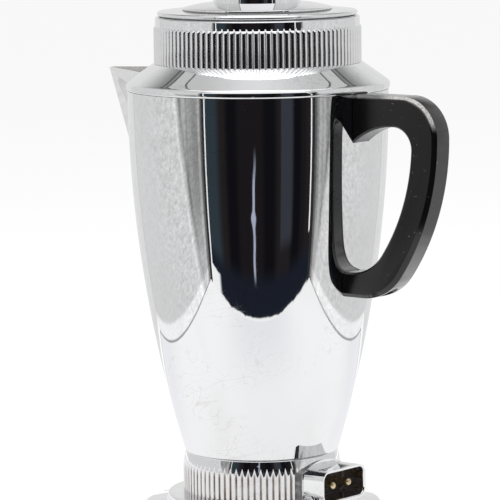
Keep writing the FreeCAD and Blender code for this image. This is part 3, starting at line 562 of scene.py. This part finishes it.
plated_steel = turned_steel("plated_steel")
brass = mottled_brass("worn_brass")
lay_finish(plated_steel, "handle_upper_screw", "handle_lower_washer", "handle_lower_stud")
lay_finish(brass, "handle_insert")
head_top = HEEL_HEAD_OUT + HEEL_HEAD_HEIGHT
screw_shape = turned([(0, HEEL_TIP_OUT), (HEEL_SHAFT_R, HEEL_TIP_OUT), (HEEL_SHAFT_R, HEEL_HEAD_OUT),
                      (HEEL_HEAD_R, HEEL_HEAD_OUT), (HEEL_HEAD_R, HEEL_HEAD_OUT + HEEL_HEAD_SIDE),
                      (0, head_top)],
                     rounds={4: 0.4}, bows={4: 0.3}, steps=48, cuts=5)
heel_screw = piece_of(lay_on_heel(screw_shape), "handle_heel_screw", plated_steel, "pot",
                      ["handle_lower_screw"])
slot_cut = bmesh.new()
bmesh.ops.create_cube(slot_cut, size=1.0)
bmesh.ops.scale(slot_cut, verts=slot_cut.verts[:], vec=SLOT_SIZE)
bmesh.ops.translate(slot_cut, verts=slot_cut.verts[:], vec=(0, 0, head_top * MM))
bmesh.ops.rotate(slot_cut, verts=slot_cut.verts[:], cent=(0, 0, 0), matrix=SLOT_TURN)
cut_with(heel_screw, lay_on_heel(slot_cut))


# Fluted base ring: a thick plated band under the pot, rolled with eighty upright reeds.
# The reeds run out in points where the band's upper part leans in under the pot's edge.

BASE_CREST, BASE_DEPTH, BASE_REEDS, FLUTE_CUTS = 40.6, 0.55, 80, 12
BASE_LOW, BASE_STRAIGHT, BASE_LEAN, BASE_TOP = 11.6, 9.0, 24.1, 33.3
BASE_TOP_R, BASE_BORE = 39.0, 37.4
LEAN_ROWS, BASE_CREASE = 7, 14.0

# Rows of the rounded upper edge: the rise to each, and how far it draws in.
EDGE_ROWS = ((0.25, 0.06), (0.2, 0.25), (0.15, 0.6))
lean_rise = BASE_TOP - BASE_LEAN
lean_run = BASE_CREST - BASE_TOP_R
lean_r = (lean_rise ** 2 + lean_run ** 2) / (2 * lean_run)


def lean_radius(z):
    """Radius of the leaning upper band at a height, in millimetres."""
    return BASE_CREST - lean_r + math.sqrt(lean_r ** 2 - (z - BASE_LEAN) ** 2)


def lean_height(radius):
    """Height at which the leaning band has a radius, in millimetres."""
    return BASE_LEAN + math.sqrt(max(0.0, lean_r ** 2 - (radius - BASE_CREST + lean_r) ** 2))


def base_dirt(place):
    """Brown dirt caked in the grooves of the base ring, thinner towards their tips."""
    radius, z = from_axis(place)
    groove = radius.below((BASE_CREST - 0.40) * MM, (BASE_CREST - 0.09) * MM)
    low = z.below((BASE_LEAN - 0.6) * MM, (BASE_LEAN + 4.4) * MM)
    return groove * low * (0.45 + cloud(place, 70.0, detail=3.0).between(0.3, 0.7) * 0.55) + low * 0.09


base_shape = bmesh.new()
line = reed_line(base_shape, BASE_CREST, BASE_DEPTH, BASE_REEDS, BASE_LOW, FLUTE_CUTS)
spots, line = pull_up(base_shape, line, BASE_STRAIGHT)
spots, line = pull_up(base_shape, line, 0)
for spot in spots:
    spot.co.z = lean_height(math.hypot(spot.co.x, spot.co.y) / MM) * MM
edge_low = BASE_TOP - sum(rise for rise, _ in EDGE_ROWS)
for row in range(LEAN_ROWS):
    spots, line = pull_up(base_shape, line, 0)
    for spot in spots:
        spot.co.z += (edge_low * MM - spot.co.z) / (LEAN_ROWS - row)
        set_radius(spot, lean_radius(spot.co.z / MM) * MM)
for rise, draw in EDGE_ROWS:
    spots, line = pull_up(base_shape, line, rise)
    for spot in spots:
        set_radius(spot, (BASE_TOP_R - draw) * MM)
ring_round(base_shape, BASE_REEDS)
close_inside(base_shape, BASE_BORE)
base_ring = piece_of(base_shape, "fluted_base_ring", plated_chrome("base_chrome", 0.5, base_dirt), "pot",
                     ["base_ring"], crease=BASE_CREASE)


# Foot: a spun and plated skirt in two steps that flares out to carry the pot, with a rolled outer edge.
# A stud through the base clamps it under the fluted ring, and a cover and a pad close it below.

FOOT_SHEET, FOOT_BORE = 1.5, 34.0
STEP_R, STEP_FILLET_RUN, STEP_FILLET_RISE = 48.8, 1.5, 0.6
FLANGE_R, FLANGE_Z, FLANGE_ROOT_Z = 61.2, 4.9, 6.8
FLANGE_ROLL_RUN, FLANGE_ROLL_FALL = 0.9, 0.2
PAD_HEIGHT = 1.6

foot_shape = turned([(FOOT_BORE, BASE_LOW), (STEP_R, BASE_LOW), (STEP_R, FLANGE_ROOT_Z + STEP_FILLET_RISE),
                     (STEP_R + STEP_FILLET_RUN, FLANGE_ROOT_Z),
                     (FLANGE_R - FLANGE_ROLL_RUN, FLANGE_Z + FLANGE_ROLL_FALL), (FLANGE_R, FLANGE_Z),
                     (FLANGE_R, PAD_HEIGHT), (FLANGE_R - FOOT_SHEET, PAD_HEIGHT),
                     (FLANGE_R - FOOT_SHEET, FLANGE_Z - FOOT_SHEET),
                     (STEP_R - FOOT_SHEET, FLANGE_ROOT_Z - FOOT_SHEET),
                     (STEP_R - FOOT_SHEET, BASE_LOW - FOOT_SHEET), (FOOT_BORE, BASE_LOW - FOOT_SHEET)],
                    rounds={1: 1.5, 2: 0.6, 3: 0.6, 5: 0.7, 6: 0.5}, steps=256)
piece_of(foot_shape, "flared_foot", pot_chrome, "pot", ["foot"])


# Inlet: a flat chrome tube with a thick arched root, set in a notch of the base ring.
# A brown moulded block sits deep inside it and holds two brass pins.
# Nuts clamp brass strips to the pins' tails, and the strips lead to the heater.

INLET_WIDTH, INLET_HEIGHT, INLET_CORNER = 35.0, 16.8, 4.8
INLET_Z = BASE_LOW + JOINT_GAP + INLET_HEIGHT / 2
INLET_MOUTH_X, INLET_LIP = 54.0, 0.9
ROOT_PAINTED_SHADE = (0.055, 0.05, 0.047, 1)
NOTCH_SIDE = INLET_WIDTH / 2 + JOINT_GAP
NOTCH_LOW, NOTCH_TOP = BASE_LOW - 0.6, INLET_Z + INLET_HEIGHT / 2 + JOINT_GAP
NOTCH_CORNER = INLET_CORNER + JOINT_GAP
NOTCH_BACK, NOTCH_LENGTH = 26.0, 20.0


def looks_in(face):
    """Whether a face of the inlet tube looks towards the tube's middle."""
    middle = face.calc_center_median()
    inward = face.normal.y * middle.y + face.normal.z * (middle.z - INLET_Z * MM)
    return abs(face.normal.x) < 0.5 and inward < 0


def root_painted_shade(place):
    """A dark reflection painted on the inlet's root, in the corner next to the reeds."""
    x, _, _ = split(place)
    root = x.below((BASE_CREST - 0.1) * MM, (BASE_CREST + 0.5) * MM)
    return root * (0.55 + cloud(place, 240.0).between(0.3, 0.7) * 0.35)


def brown_phenolic(name):
    """Matt brown phenolic with a mottle."""
    finish, place = new_finish(name)
    mottle = cloud(place, 140.0, detail=4.0)
    tone = mottle.between(0.35, 0.7).tint((0.020, 0.012, 0.009, 1), (0.045, 0.026, 0.018, 1))
    return coat(finish, place, {}, {"Base Color": tone, "Roughness": 0.42 + mottle * 0.2},
                bump=(cloud(place, 700.0), 0.00003))


shroud_shape = copy_of("inlet_shroud")
mouth_edges = [e for e in shroud_shape.edges if any(looks_in(f) for f in e.link_faces)
               and all(v.co.x > (INLET_MOUTH_X - 0.1) * MM for v in e.verts)]
bmesh.ops.bevel(shroud_shape, geom=mouth_edges, offset=INLET_LIP * MM, offset_type="OFFSET", segments=4,
                profile=0.5, affect="EDGES", material=-1)
# The inlet's chrome has a dark reflection painted at its root.
inlet_chrome = plated_chrome("inlet_chrome", 0.6, root_painted_shade, ROOT_PAINTED_SHADE)
shroud = piece_of(shroud_shape, "inlet_tube", inlet_chrome, "pot", ["inlet_shroud"], recalc=False)
soften(shroud, 0.4, segments=4)
notch = bmesh.new()
notch_spots = [notch.verts.new((NOTCH_BACK * MM, y * MM, z * MM)) for y, z in (
    (-NOTCH_SIDE, NOTCH_TOP), (NOTCH_SIDE, NOTCH_TOP), (NOTCH_SIDE, NOTCH_LOW), (-NOTCH_SIDE, NOTCH_LOW))]
notch.faces.new(notch_spots)
bmesh.ops.bevel(notch, geom=notch_spots[:2], offset=NOTCH_CORNER * MM, offset_type="OFFSET", segments=10,
                profile=0.5, affect="VERTICES", material=-1)
grown = bmesh.ops.extrude_face_region(notch, geom=notch.faces[:])["geom"]
notch_front = [g for g in grown if isinstance(g, bmesh.types.BMVert)]
bmesh.ops.translate(notch, verts=notch_front, vec=(NOTCH_LENGTH * MM, 0, 0))
cut_with(base_ring, notch, crease=BASE_CREASE)
lay_finish(brown_phenolic("brown_phenolic"), "inlet_insulator")
lay_finish(brass, "inlet_pins", "pin_nuts", "supply_strips")


# Hidden parts of the base: the pressed steel floor, and the mica-wrapped heater clamped round its well.
# A fibre board keeps the heat from the cover, which a stud and a nut hold up.
# Rubber makes the pad that the pot stands on and the washer that seals the upper handle screw.

def plain_board(name, first, second, rough, scale):
    """A matt sheet with a mottled tone."""
    finish, place = new_finish(name)
    fleck = cloud(place, scale, detail=5.0)
    tone = fleck.between(0.3, 0.7).tint(first, second)
    return coat(finish, place, {}, {"Base Color": tone, "Roughness": rough + fleck * 0.15},
                bump=(fleck, 0.00006))


rubber = plain_board("black_rubber", (0.022, 0.022, 0.022, 1), (0.04, 0.039, 0.038, 1), 0.62, 350.0)
mica = plain_board("mica_wrap", (0.40, 0.34, 0.25, 1), (0.52, 0.47, 0.38, 1), 0.45, 240.0)
fibre = plain_board("fibre_board", (0.46, 0.41, 0.33, 1), (0.60, 0.55, 0.46, 1), 0.75, 500.0)
lay_finish(plated_steel, "vessel_floor", "heater_clamp", "clamp_screw", "clamp_nut", "bottom_cover",
           "base_stud", "base_washer", "base_nut")
lay_finish(mica, "heater_band")
lay_finish(fibre, "heat_shield")
lay_finish(rubber, "base_pad", "handle_seal_washer")


# Pump, basket and spreader: thin spun aluminium, stacked on the pump's stem.
# The stack stands loose in the well and lifts out through the mouth.
# Coffee has dulled it and left tan stains.

def stained_aluminium(name):
    """Dull spun aluminium with fine rings from the lathe and tan coffee stains."""
    finish, place = new_finish(name)
    rings = cloud(place, 1500.0, detail=1.0, stretch=(0.03, 0.03, 1))
    stain = cloud(place, 38.0, detail=5.0).between(0.50, 0.72)
    dull = cloud(place, 15.0, detail=3.0).between(0.3, 0.7)
    tone = (stain * 0.55).tint((0.74, 0.74, 0.73, 1), (0.50, 0.41, 0.30, 1))
    return coat(finish, place, {"Metallic": 1.0},
                {"Base Color": tone, "Roughness": 0.26 + dull * 0.12 + stain * 0.12},
                bump=(rings, 0.000015))


lay_finish(stained_aluminium("stained_aluminium"), "valve_seat", "pump_bell", "pump_stem", "pump_valve",
           "stem_stop", "coffee_basket", "spreader_plate")


# Lid: a spun and plated plate in two steps with a rolled rim, which rests on the neck.
# A plain steel skirt, soldered under the plate, drops into the mouth and keeps the lid in its place.

LIFT_GAP = 0.3
LID_R, LID_LOW = MOUTH_R + 2.0, NECK_TOP + LIFT_GAP
LID_TOP, LID_DISH = LID_LOW + 2.3, 0.34
LID_STEP_R, LID_STEP_TOP = 37.7, LID_TOP + 1.7
LID_BOW = 0.4
DRUM_R, DRUM_LOW = 22.3, LID_STEP_TOP + 2.7
KNOB_NECK, KNOB_PLAY = 17.0, 0.4
HOLE_R = KNOB_NECK + KNOB_PLAY
SKIRT_R, SKIRT_WALL, SKIRT_DEPTH = MOUTH_R - 0.6, 1.0, 12.5
LID_PAINTED_SHADE = (0.05, 0.045, 0.04, 1)


def lid_painted_shade(place):
    """Painted shade under the lid's rim and in the corner at the foot of its step."""
    radius, z = from_axis(place)
    under = z.below((LID_LOW + 0.17) * MM, (LID_LOW + 0.57) * MM)
    corner = radius.between((LID_STEP_R - 0.3) * MM, (LID_STEP_R - 0.1) * MM) \
        * radius.below((LID_STEP_R + 0.3) * MM, (LID_STEP_R + 0.9) * MM) \
        * z.below((LID_TOP + 0.67) * MM, (LID_TOP + 1.07) * MM)
    return (under + corner) * 0.8


# The lid's chrome has painted shade under its rim and at the foot of its step.
lid_chrome = plated_chrome("lid_chrome", 0.6, lid_painted_shade, LID_PAINTED_SHADE)
lid_shape = turned([(MOUTH_R, LID_LOW), (LID_R, LID_LOW), (LID_R, LID_TOP), (LID_STEP_R, LID_TOP + LID_DISH),
                    (LID_STEP_R, LID_STEP_TOP), (DRUM_R, DRUM_LOW), (HOLE_R, DRUM_LOW),
                    (HOLE_R, DRUM_LOW - SHEET), (DRUM_R - SHEET, DRUM_LOW - SHEET),
                    (LID_STEP_R - SHEET, LID_STEP_TOP - SHEET), (LID_STEP_R - SHEET, LID_TOP - SHEET),
                    (MOUTH_R, LID_TOP - SHEET)],
                   rounds={1: 1.1, 2: 1.1, 3: 0.15, 4: 0.3}, bows={4: LID_BOW, 8: -LID_BOW}, steps=256)
piece_of(lid_shape, "stepped_lid", lid_chrome, "lid", ["lid"])
skirt_low, skirt_top = LID_LOW - SKIRT_DEPTH, LID_TOP - SHEET
skirt_shape = turned([(SKIRT_R - SKIRT_WALL, skirt_low), (SKIRT_R, skirt_low), (SKIRT_R, skirt_top),
                      (SKIRT_R - SKIRT_WALL, skirt_top)],
                     rounds={0: 0.3, 1: 0.3}, steps=192)
piece_of(skirt_shape, "lid_sleeve", plated_steel, "lid", ["lid_skirt"])


# Knob drum: a low turned collar of plated metal, soldered to the middle of the lid.
# Its lip has two notches that let the glass knob's lugs through.

DRUM_TOP = DRUM_LOW + 8.5
LUG_R = KNOB_NECK + 2.6
NOTCH_ANGLE, NOTCH_FACINGS = 60.0, (90, 270)
LIP_CUT_R, LIP_CUT_LOW, LIP_CUT_TOP = 15.0, DRUM_TOP - 2 * SHEET, DRUM_TOP + 1.0


def wedge(inner, outer, low, high, angle, facing):
    """A block that follows an arc round the pot's axis, in millimetres and degrees."""
    shape = bmesh.new()
    start = math.radians(facing - angle / 2)
    spots = [shape.verts.new((r * MM * math.cos(start), r * MM * math.sin(start), z * MM))
             for r, z in ((inner, low), (outer, low), (outer, high), (inner, high))]
    face = shape.faces.new(spots)
    bmesh.ops.spin(shape, geom=[face, *face.edges, *face.verts], cent=(0, 0, 0), axis=(0, 0, 1),
                   dvec=(0, 0, 0), angle=math.radians(angle), steps=16, use_merge=False, use_duplicate=False)
    return shape


drum_shape = turned([(DRUM_R - SHEET, DRUM_LOW), (DRUM_R, DRUM_LOW), (DRUM_R, DRUM_TOP), (HOLE_R, DRUM_TOP),
                     (HOLE_R, DRUM_TOP - SHEET), (DRUM_R - SHEET, DRUM_TOP - SHEET)],
                    rounds={2: 1.0, 3: 0.3, 4: 0.3}, steps=160)
drum = piece_of(drum_shape, "knob_collar", lid_chrome, "lid", ["knob_drum"])
for facing in NOTCH_FACINGS:
    cut_with(drum, wedge(LIP_CUT_R, LUG_R + KNOB_PLAY, LIP_CUT_LOW, LIP_CUT_TOP, NOTCH_ANGLE, facing))


# Glass knob: a hollow dome of clear pressed glass that shows the coffee's colour as it bubbles up.
# Two lugs on its neck turn under the drum's lip and hold it there.

LUG_ROOT_R, LUG_HEIGHT, LUG_ANGLE, LUG_FACINGS = 16.0, 2.2, 50.0, (0, 180)
KNOB_R, KNOB_BORE, KNOB_HEIGHT = 20.95, 14.4, 27.0
KNOB_LOW = DRUM_TOP - SHEET - KNOB_PLAY - LUG_HEIGHT
KNOB_SEAT = DRUM_TOP + LIFT_GAP
KNOB_SIDE = KNOB_SEAT + KNOB_HEIGHT - KNOB_R
GLASS_TINT = (0.95, 0.975, 0.965, 1)


def clear_glass(name):
    """Clear pressed glass, a little wavy, with a thin film in patches."""
    finish, place = new_finish(name)
    wave = cloud(place, 60.0, detail=2.0)
    film = cloud(place, 40.0, detail=4.0).between(0.45, 0.8)
    return coat(finish, place, {"Transmission Weight": 1.0, "IOR": 1.5, "Base Color": GLASS_TINT},
                {"Roughness": 0.01 + film * 0.05}, bump=(wave, 0.00004))


quarter_bow = 1 - math.sqrt(0.5)
knob_shape = turned([(KNOB_BORE, KNOB_LOW), (KNOB_NECK, KNOB_LOW), (KNOB_NECK, KNOB_SEAT),
                     (KNOB_R, KNOB_SEAT), (KNOB_R, KNOB_SIDE), (0, KNOB_SIDE + KNOB_R),
                     (0, KNOB_SIDE + KNOB_BORE), (KNOB_BORE, KNOB_SIDE)],
                    rounds={1: 0.4, 3: 1.0}, bows={4: KNOB_R * quarter_bow, 6: -KNOB_BORE * quarter_bow},
                    steps=128, cuts=20)
knob = piece_of(knob_shape, "glass_dome", clear_glass("clear_glass"), "knob", ["glass_knob"])
for facing in LUG_FACINGS:
    cut_with(knob, wedge(LUG_ROOT_R, LUG_R, KNOB_LOW, KNOB_LOW + LUG_HEIGHT, LUG_ANGLE, facing),
             operation="UNION")


# Table: a wide white top that the pot stands on. Part of its white is a glow that the camera and the
# chrome see, so the background stays pale without more light on the pot, and the rest takes its shadow.
# Places in the studio are in metres: across to the right of the pot, depth towards the camera, and height.

AZIMUTH = math.radians(39.3)
TABLE_R = 6.0
TABLE_WHITE = (1, 0.998, 0.996, 1)
TABLE_FAR = (0.970, 0.966, 0.968, 1)
TABLE_DIM = (0, 0, 0.25, 1)
TABLE_MATT = (0.9, 0.9, 0.9, 1)
TABLE_GLOW, GLOW_SHARE = 1.03, 0.8
scene = bpy.context.scene


def stage_piece(shape, name, finish):
    """Puts a piece of the studio in the scene, outside the part."""
    mesh = bpy.data.meshes.new(name)
    shape.to_mesh(mesh)
    shape.free()
    piece = bpy.data.objects.new(name, mesh)
    scene.collection.objects.link(piece)
    piece.data.materials.append(finish)
    return piece


def studio_place(place):
    """A place turned to face the camera, and its distance to the right, towards the camera, and up."""
    laid = place.node("ShaderNodeMapping", {"vector_type": "TEXTURE"},
                      {"Vector": place, "Rotation": (0, 0, AZIMUTH)})
    right, away, up = split(laid)
    return laid, right, away * -1.0, up


def pale_table(name):
    """Matt white that glows where the camera, a mirror or glass sees it."""
    finish, place = new_finish(name)
    _, across, depth, _ = studio_place(place)
    rays = place.node("ShaderNodeLightPath").socket.node
    camera_ray, glossy_ray, clear_ray = [Tone(place.tree, rays.outputs[f"Is {kind} Ray"])
                                         for kind in ("Camera", "Glossy", "Transmission")]
    # Painted shade, seen only in the chrome: the table is darker in front of the pot and behind it.
    front_dim = depth.between(0.11, 0.25) * abs(across).below(0.04, 0.20) * 0.16
    dim = front_dim + depth.below(-0.16, 0.02) * 0.13
    far = depth.below(-0.85, -0.45).tint(TABLE_WHITE, TABLE_FAR)
    matt = place.node("ShaderNodeBsdfDiffuse", feeds={"Color": TABLE_MATT})
    glow = place.node("ShaderNodeEmission", feeds={"Color": (dim * glossy_ray).tint(far, TABLE_DIM),
                                                   "Strength": TABLE_GLOW})
    shown = (camera_ray + glossy_ray + clear_ray).capped() * GLOW_SHARE
    mixed = place.node("ShaderNodeMixShader", feeds={0: shown, 1: matt, 2: glow})
    place.node("ShaderNodeOutputMaterial", feeds={"Surface": mixed})
    return finish


table_shape = bmesh.new()
bmesh.ops.create_circle(table_shape, cap_ends=True, segments=96, radius=TABLE_R)
stage_piece(table_shape, "pale_table", pale_table("pale_table"))


# Cloth tent: a cube of white cloth on a frame round the table, with dark drapes across its open front.
# The camera doesn't see it. It shows only in the chrome, where its hems, seams and folds draw the lines.

TENT_SIDE, TENT_FRONT, TENT_TOP = 0.270, 0.257, 0.740
SKIN = 0.0002
DRAPE_BLACK = (0.006, 0.006, 0.008, 1)
DRAPE_BROWN = (0.018, 0.015, 0.016, 1)
DRAPE_TEAL = (0.030, 0.044, 0.054, 1)
DRAPE_BLUE = (0.040, 0.043, 0.056, 1)
DRAPE_NAVY = (0.012, 0.015, 0.024, 1)
GAP_LIGHT = (0.42, 0.46, 0.58, 1)
HEM_WHITE = (1.0, 1.0, 1.0, 1)
TRIM_WHITE = (1.05, 1.05, 1.06, 1)
POST_BLACK = (0.03, 0.03, 0.03, 1)


def cloth_walls(laid, across, depth, height):
    """Brightness of the tent's side and back walls."""
    lean = depth + height * 0.45
    lit = depth.between(-0.15, 0.0)
    grain = cloud(laid, 72.0, detail=4.0, stretch=(1, 1, 4.5), rough=0.7) - 0.5
    weave = 1 + grain * (0.4 + lean.between(-0.02, 0.14) * 0.9)
    # Darker folds hang next to the open front, with a pale crease behind them.
    hang = lean - across.between(0.0, 0.1) * 0.03
    fold = cloud(laid, 34.0, detail=2.0, stretch=(1, 1, 0.05), turn=(0.42, 0, 0)).between(0.35, 0.65)
    folds = hang.between(0.186, 0.208) * (0.35 + fold * 0.25 + hang.near(0.211, 0.010) * 0.15)
    folds = folds * (0.5 + height.between(0.02, 0.12) * 0.5) * height.below(0.195, 0.215)
    crease = lean.near(0.184, 0.010)
    front_edge = depth.between(0.233, 0.251)
    # The back wall is a little brighter than the corners beside it, and has a dark slit in its middle.
    on_back = depth.below(SKIN - TENT_FRONT, 2 * SKIN - TENT_FRONT)
    corner = depth.below(0.002 - TENT_FRONT, 0.03 - TENT_FRONT) * (1 - on_back)
    slit = on_back * abs(across).below(0.05, 0.07) * height.between(0.08, 0.10) * height.below(0.20, 0.23)
    low = (1 - folds) * (1 + crease * 0.15) * (1 - front_edge * 0.7) * (1 - corner * 0.12) * 0.72
    low = low + on_back * 0.07
    low = low * (1 - height.between(0.33, 0.555) * (0.66 - lit * 0.5)) * (1 - slit * 0.9)
    # The cloth's foot rolls out over the table, and a lighter panel is sewn on at the top.
    foot_roll = height.below(0.014, 0.019) * (height.between(0.0015, 0.0030) * 0.85 - 0.45)
    top_panel = height.between(0.592, 0.600)
    wall = (low * (1 + foot_roll) + top_panel * (0.60 + lit * 0.8 - low)) * weave
    seams = height.between(0.540, 0.545) * height.below(0.556, 0.561) * 0.6
    seams = seams + height.between(0.582, 0.587) * height.below(0.599, 0.604) * 0.6
    seams = seams + height.between(0.717, 0.722) * 0.75
    return wall * (1 - seams * (1 - lit * 0.7))


def dark_drapes(laid, across, height):
    """Colour of the drapes in the open front: near black, a bluish strip, and a thin bright gap."""
    pleats = cloud(laid, 16.0, detail=0.0, stretch=(1, 0, 0)).between(0.40, 0.60)
    drapes = pleats.tint(DRAPE_BLACK, DRAPE_BROWN)
    drapes = across.below(-0.185, -0.145).tint(drapes, DRAPE_TEAL)
    strip = across.between(0.076, 0.084) * across.below(0.120, 0.140) * height.between(0.060, 0.080)
    drapes = strip.tint(drapes, DRAPE_BLUE)
    # The gap between two drapes wanders, and bulges at one height.
    wander = (cloud(laid, 9.0, detail=2.0, stretch=(0, 0, 1)) - 0.5) * 0.04
    bulge = height.between(0.088, 0.100) * height.below(0.100, 0.108)
    gap = (abs(across + 0.020 + wander) - bulge * 0.005).below(0.0025, 0.0052)
    gap = gap * height.between(0.030, 0.045) * height.below(0.125, 0.165)
    drapes = gap.tint(drapes, GAP_LIGHT)
    return height.between(0.030, 0.055).tint(DRAPE_NAVY, drapes)


def open_front(laid, across, height):
    """Colour of the tent's front: the drapes, a ragged white hem below, white trim and dark posts."""
    ragged = height + (cloud(laid, 18.0, detail=4.0, stretch=(1, 0, 0), rough=0.6) - 0.5) * 0.012
    high_hem = across.below(-0.200, -0.180) * ragged.below(0.023, 0.026)
    hem = ragged.between(0.002, 0.004) * (1 - high_hem)
    front = hem.tint(HEM_WHITE, dark_drapes(laid, across, height))
    sag = height.between(0.19, 0.24) * across.between(0.0, 0.1) * 0.03
    edge = abs(across + 0.003 + sag)
    right_foot = across.between(0.0, 0.01) * height.below(0.057, 0.062)
    trim = edge.between(0.238, 0.240) * edge.below(0.247, 0.249) * (1 - right_foot)
    flap = height.between(0.292, 0.297)
    front = (trim + flap).capped().tint(front, TRIM_WHITE)
    return ((1 - flap) * edge.between(0.249, 0.250)).tint(front, POST_BLACK)


def white_cloth(name):
    """Cloth that glows as if lit from outside, with the open front painted on its front face."""
    finish, place = new_finish(name)
    laid, across, depth, height = studio_place(place)
    wall = cloth_walls(laid, across, depth, height)
    roof = depth.between(0.010, 0.050) * 1.8 + 0.82 - abs(across).between(0.0, 0.25) * 0.22
    on_roof = height.between(TENT_TOP - 2 * SKIN, TENT_TOP - SKIN)
    on_front = depth.between(TENT_FRONT - 2 * SKIN, TENT_FRONT - SKIN)
    tone = on_front.tint(wall + on_roof * (roof - wall), open_front(laid, across, height))
    glow = place.node("ShaderNodeEmission", feeds={"Color": tone, "Strength": 1.0})
    place.node("ShaderNodeOutputMaterial", feeds={"Surface": glow})
    finish.cycles.emission_sampling = "NONE"
    return finish


tent_shape = bmesh.new()
bmesh.ops.create_cube(tent_shape, size=1.0)
bmesh.ops.scale(tent_shape, verts=tent_shape.verts[:], vec=(2 * TENT_SIDE, 2 * TENT_FRONT, TENT_TOP))
bmesh.ops.translate(tent_shape, verts=tent_shape.verts[:], vec=(0, 0, TENT_TOP / 2))
bmesh.ops.rotate(tent_shape, verts=tent_shape.verts[:], cent=(0, 0, 0),
                 matrix=Matrix.Rotation(AZIMUTH, 3, "Z"))
bottom = min(tent_shape.faces, key=lambda f: f.calc_center_median().z)
bmesh.ops.delete(tent_shape, geom=[bottom], context="FACES_ONLY")
tent = stage_piece(tent_shape, "cloth_tent", white_cloth("white_cloth"))
tent.visible_camera = False
tent.visible_diffuse = False
tent.visible_shadow = False


# Sky and lamp: an even pale sky lights everything softly, and the camera sees it as the pale backdrop.
# One wide round lamp above and behind the pot gives the faint shadow, and the chrome doesn't show it.

SKY_LIGHT = (0.80, 0.80, 0.81, 1)
SKY_SEEN = (0.96, 0.955, 0.957, 1)
LAMP_POWER, LAMP_SIZE = 14.0, 1.4
LAMP_SPOT, LAMP_AIM = Vector((-0.3, 0.3, 1.5)), Vector((0, 0, 0.1))

world = bpy.data.worlds.new("sky")
scene.world = world
world.use_nodes = True
world.node_tree.nodes.clear()
sky = Tone(world.node_tree)
sky_tone = sky.node("ShaderNodeLightPath", out="Is Camera Ray").tint(SKY_LIGHT, SKY_SEEN)
backdrop = sky.node("ShaderNodeBackground", feeds={"Color": sky_tone, "Strength": 1.0})
sky.node("ShaderNodeOutputWorld", feeds={"Surface": backdrop})
lamp = bpy.data.lights.new("soft_box", "AREA")
lamp.energy = LAMP_POWER
lamp.shape = "DISK"
lamp.size = LAMP_SIZE
soft_box = bpy.data.objects.new("soft_box", lamp)
soft_box.location = LAMP_SPOT
soft_box.rotation_euler = (LAMP_AIM - LAMP_SPOT).to_track_quat("-Z", "Y").to_euler()
soft_box.visible_glossy = False
scene.collection.objects.link(soft_box)


# Camera: a long lens a little above the pot's top, with the handle and the inlet to its right.
# It looks slightly down, and it is rolled by a fraction of a degree.

CAMERA_FAR, CAMERA_HEIGHT = 1.785, 0.361
AIM_HEIGHT, AIM_LEFT = 0.1361, 0.005
ROLL = math.radians(0.64)
FOCAL_LENGTH, SENSOR = 252.7, 36.0

towards = Vector((math.sin(AZIMUTH), -math.cos(AZIMUTH), 0))
rightwards = Vector((math.cos(AZIMUTH), math.sin(AZIMUTH), 0))
eye = towards * CAMERA_FAR + Vector((0, 0, CAMERA_HEIGHT))
forward = (Vector((0, 0, AIM_HEIGHT)) - rightwards * AIM_LEFT - eye).normalized()
right = forward.cross(Vector((0, 0, 1))).normalized()
up = right.cross(forward)
picture_right = right * math.cos(ROLL) - up * math.sin(ROLL)
picture_up = up * math.cos(ROLL) + right * math.sin(ROLL)
lens = bpy.data.cameras.new("camera")
lens.lens = FOCAL_LENGTH
lens.sensor_width = SENSOR
camera = bpy.data.objects.new("camera", lens)
camera.matrix_world = Matrix((
    (picture_right.x, picture_up.x, -forward.x, eye.x),
    (picture_right.y, picture_up.y, -forward.y, eye.y),
    (picture_right.z, picture_up.z, -forward.z, eye.z),
    (0, 0, 0, 1)))
scene.collection.objects.link(camera)
scene.camera = camera
scene.view_settings.view_transform = "Standard"
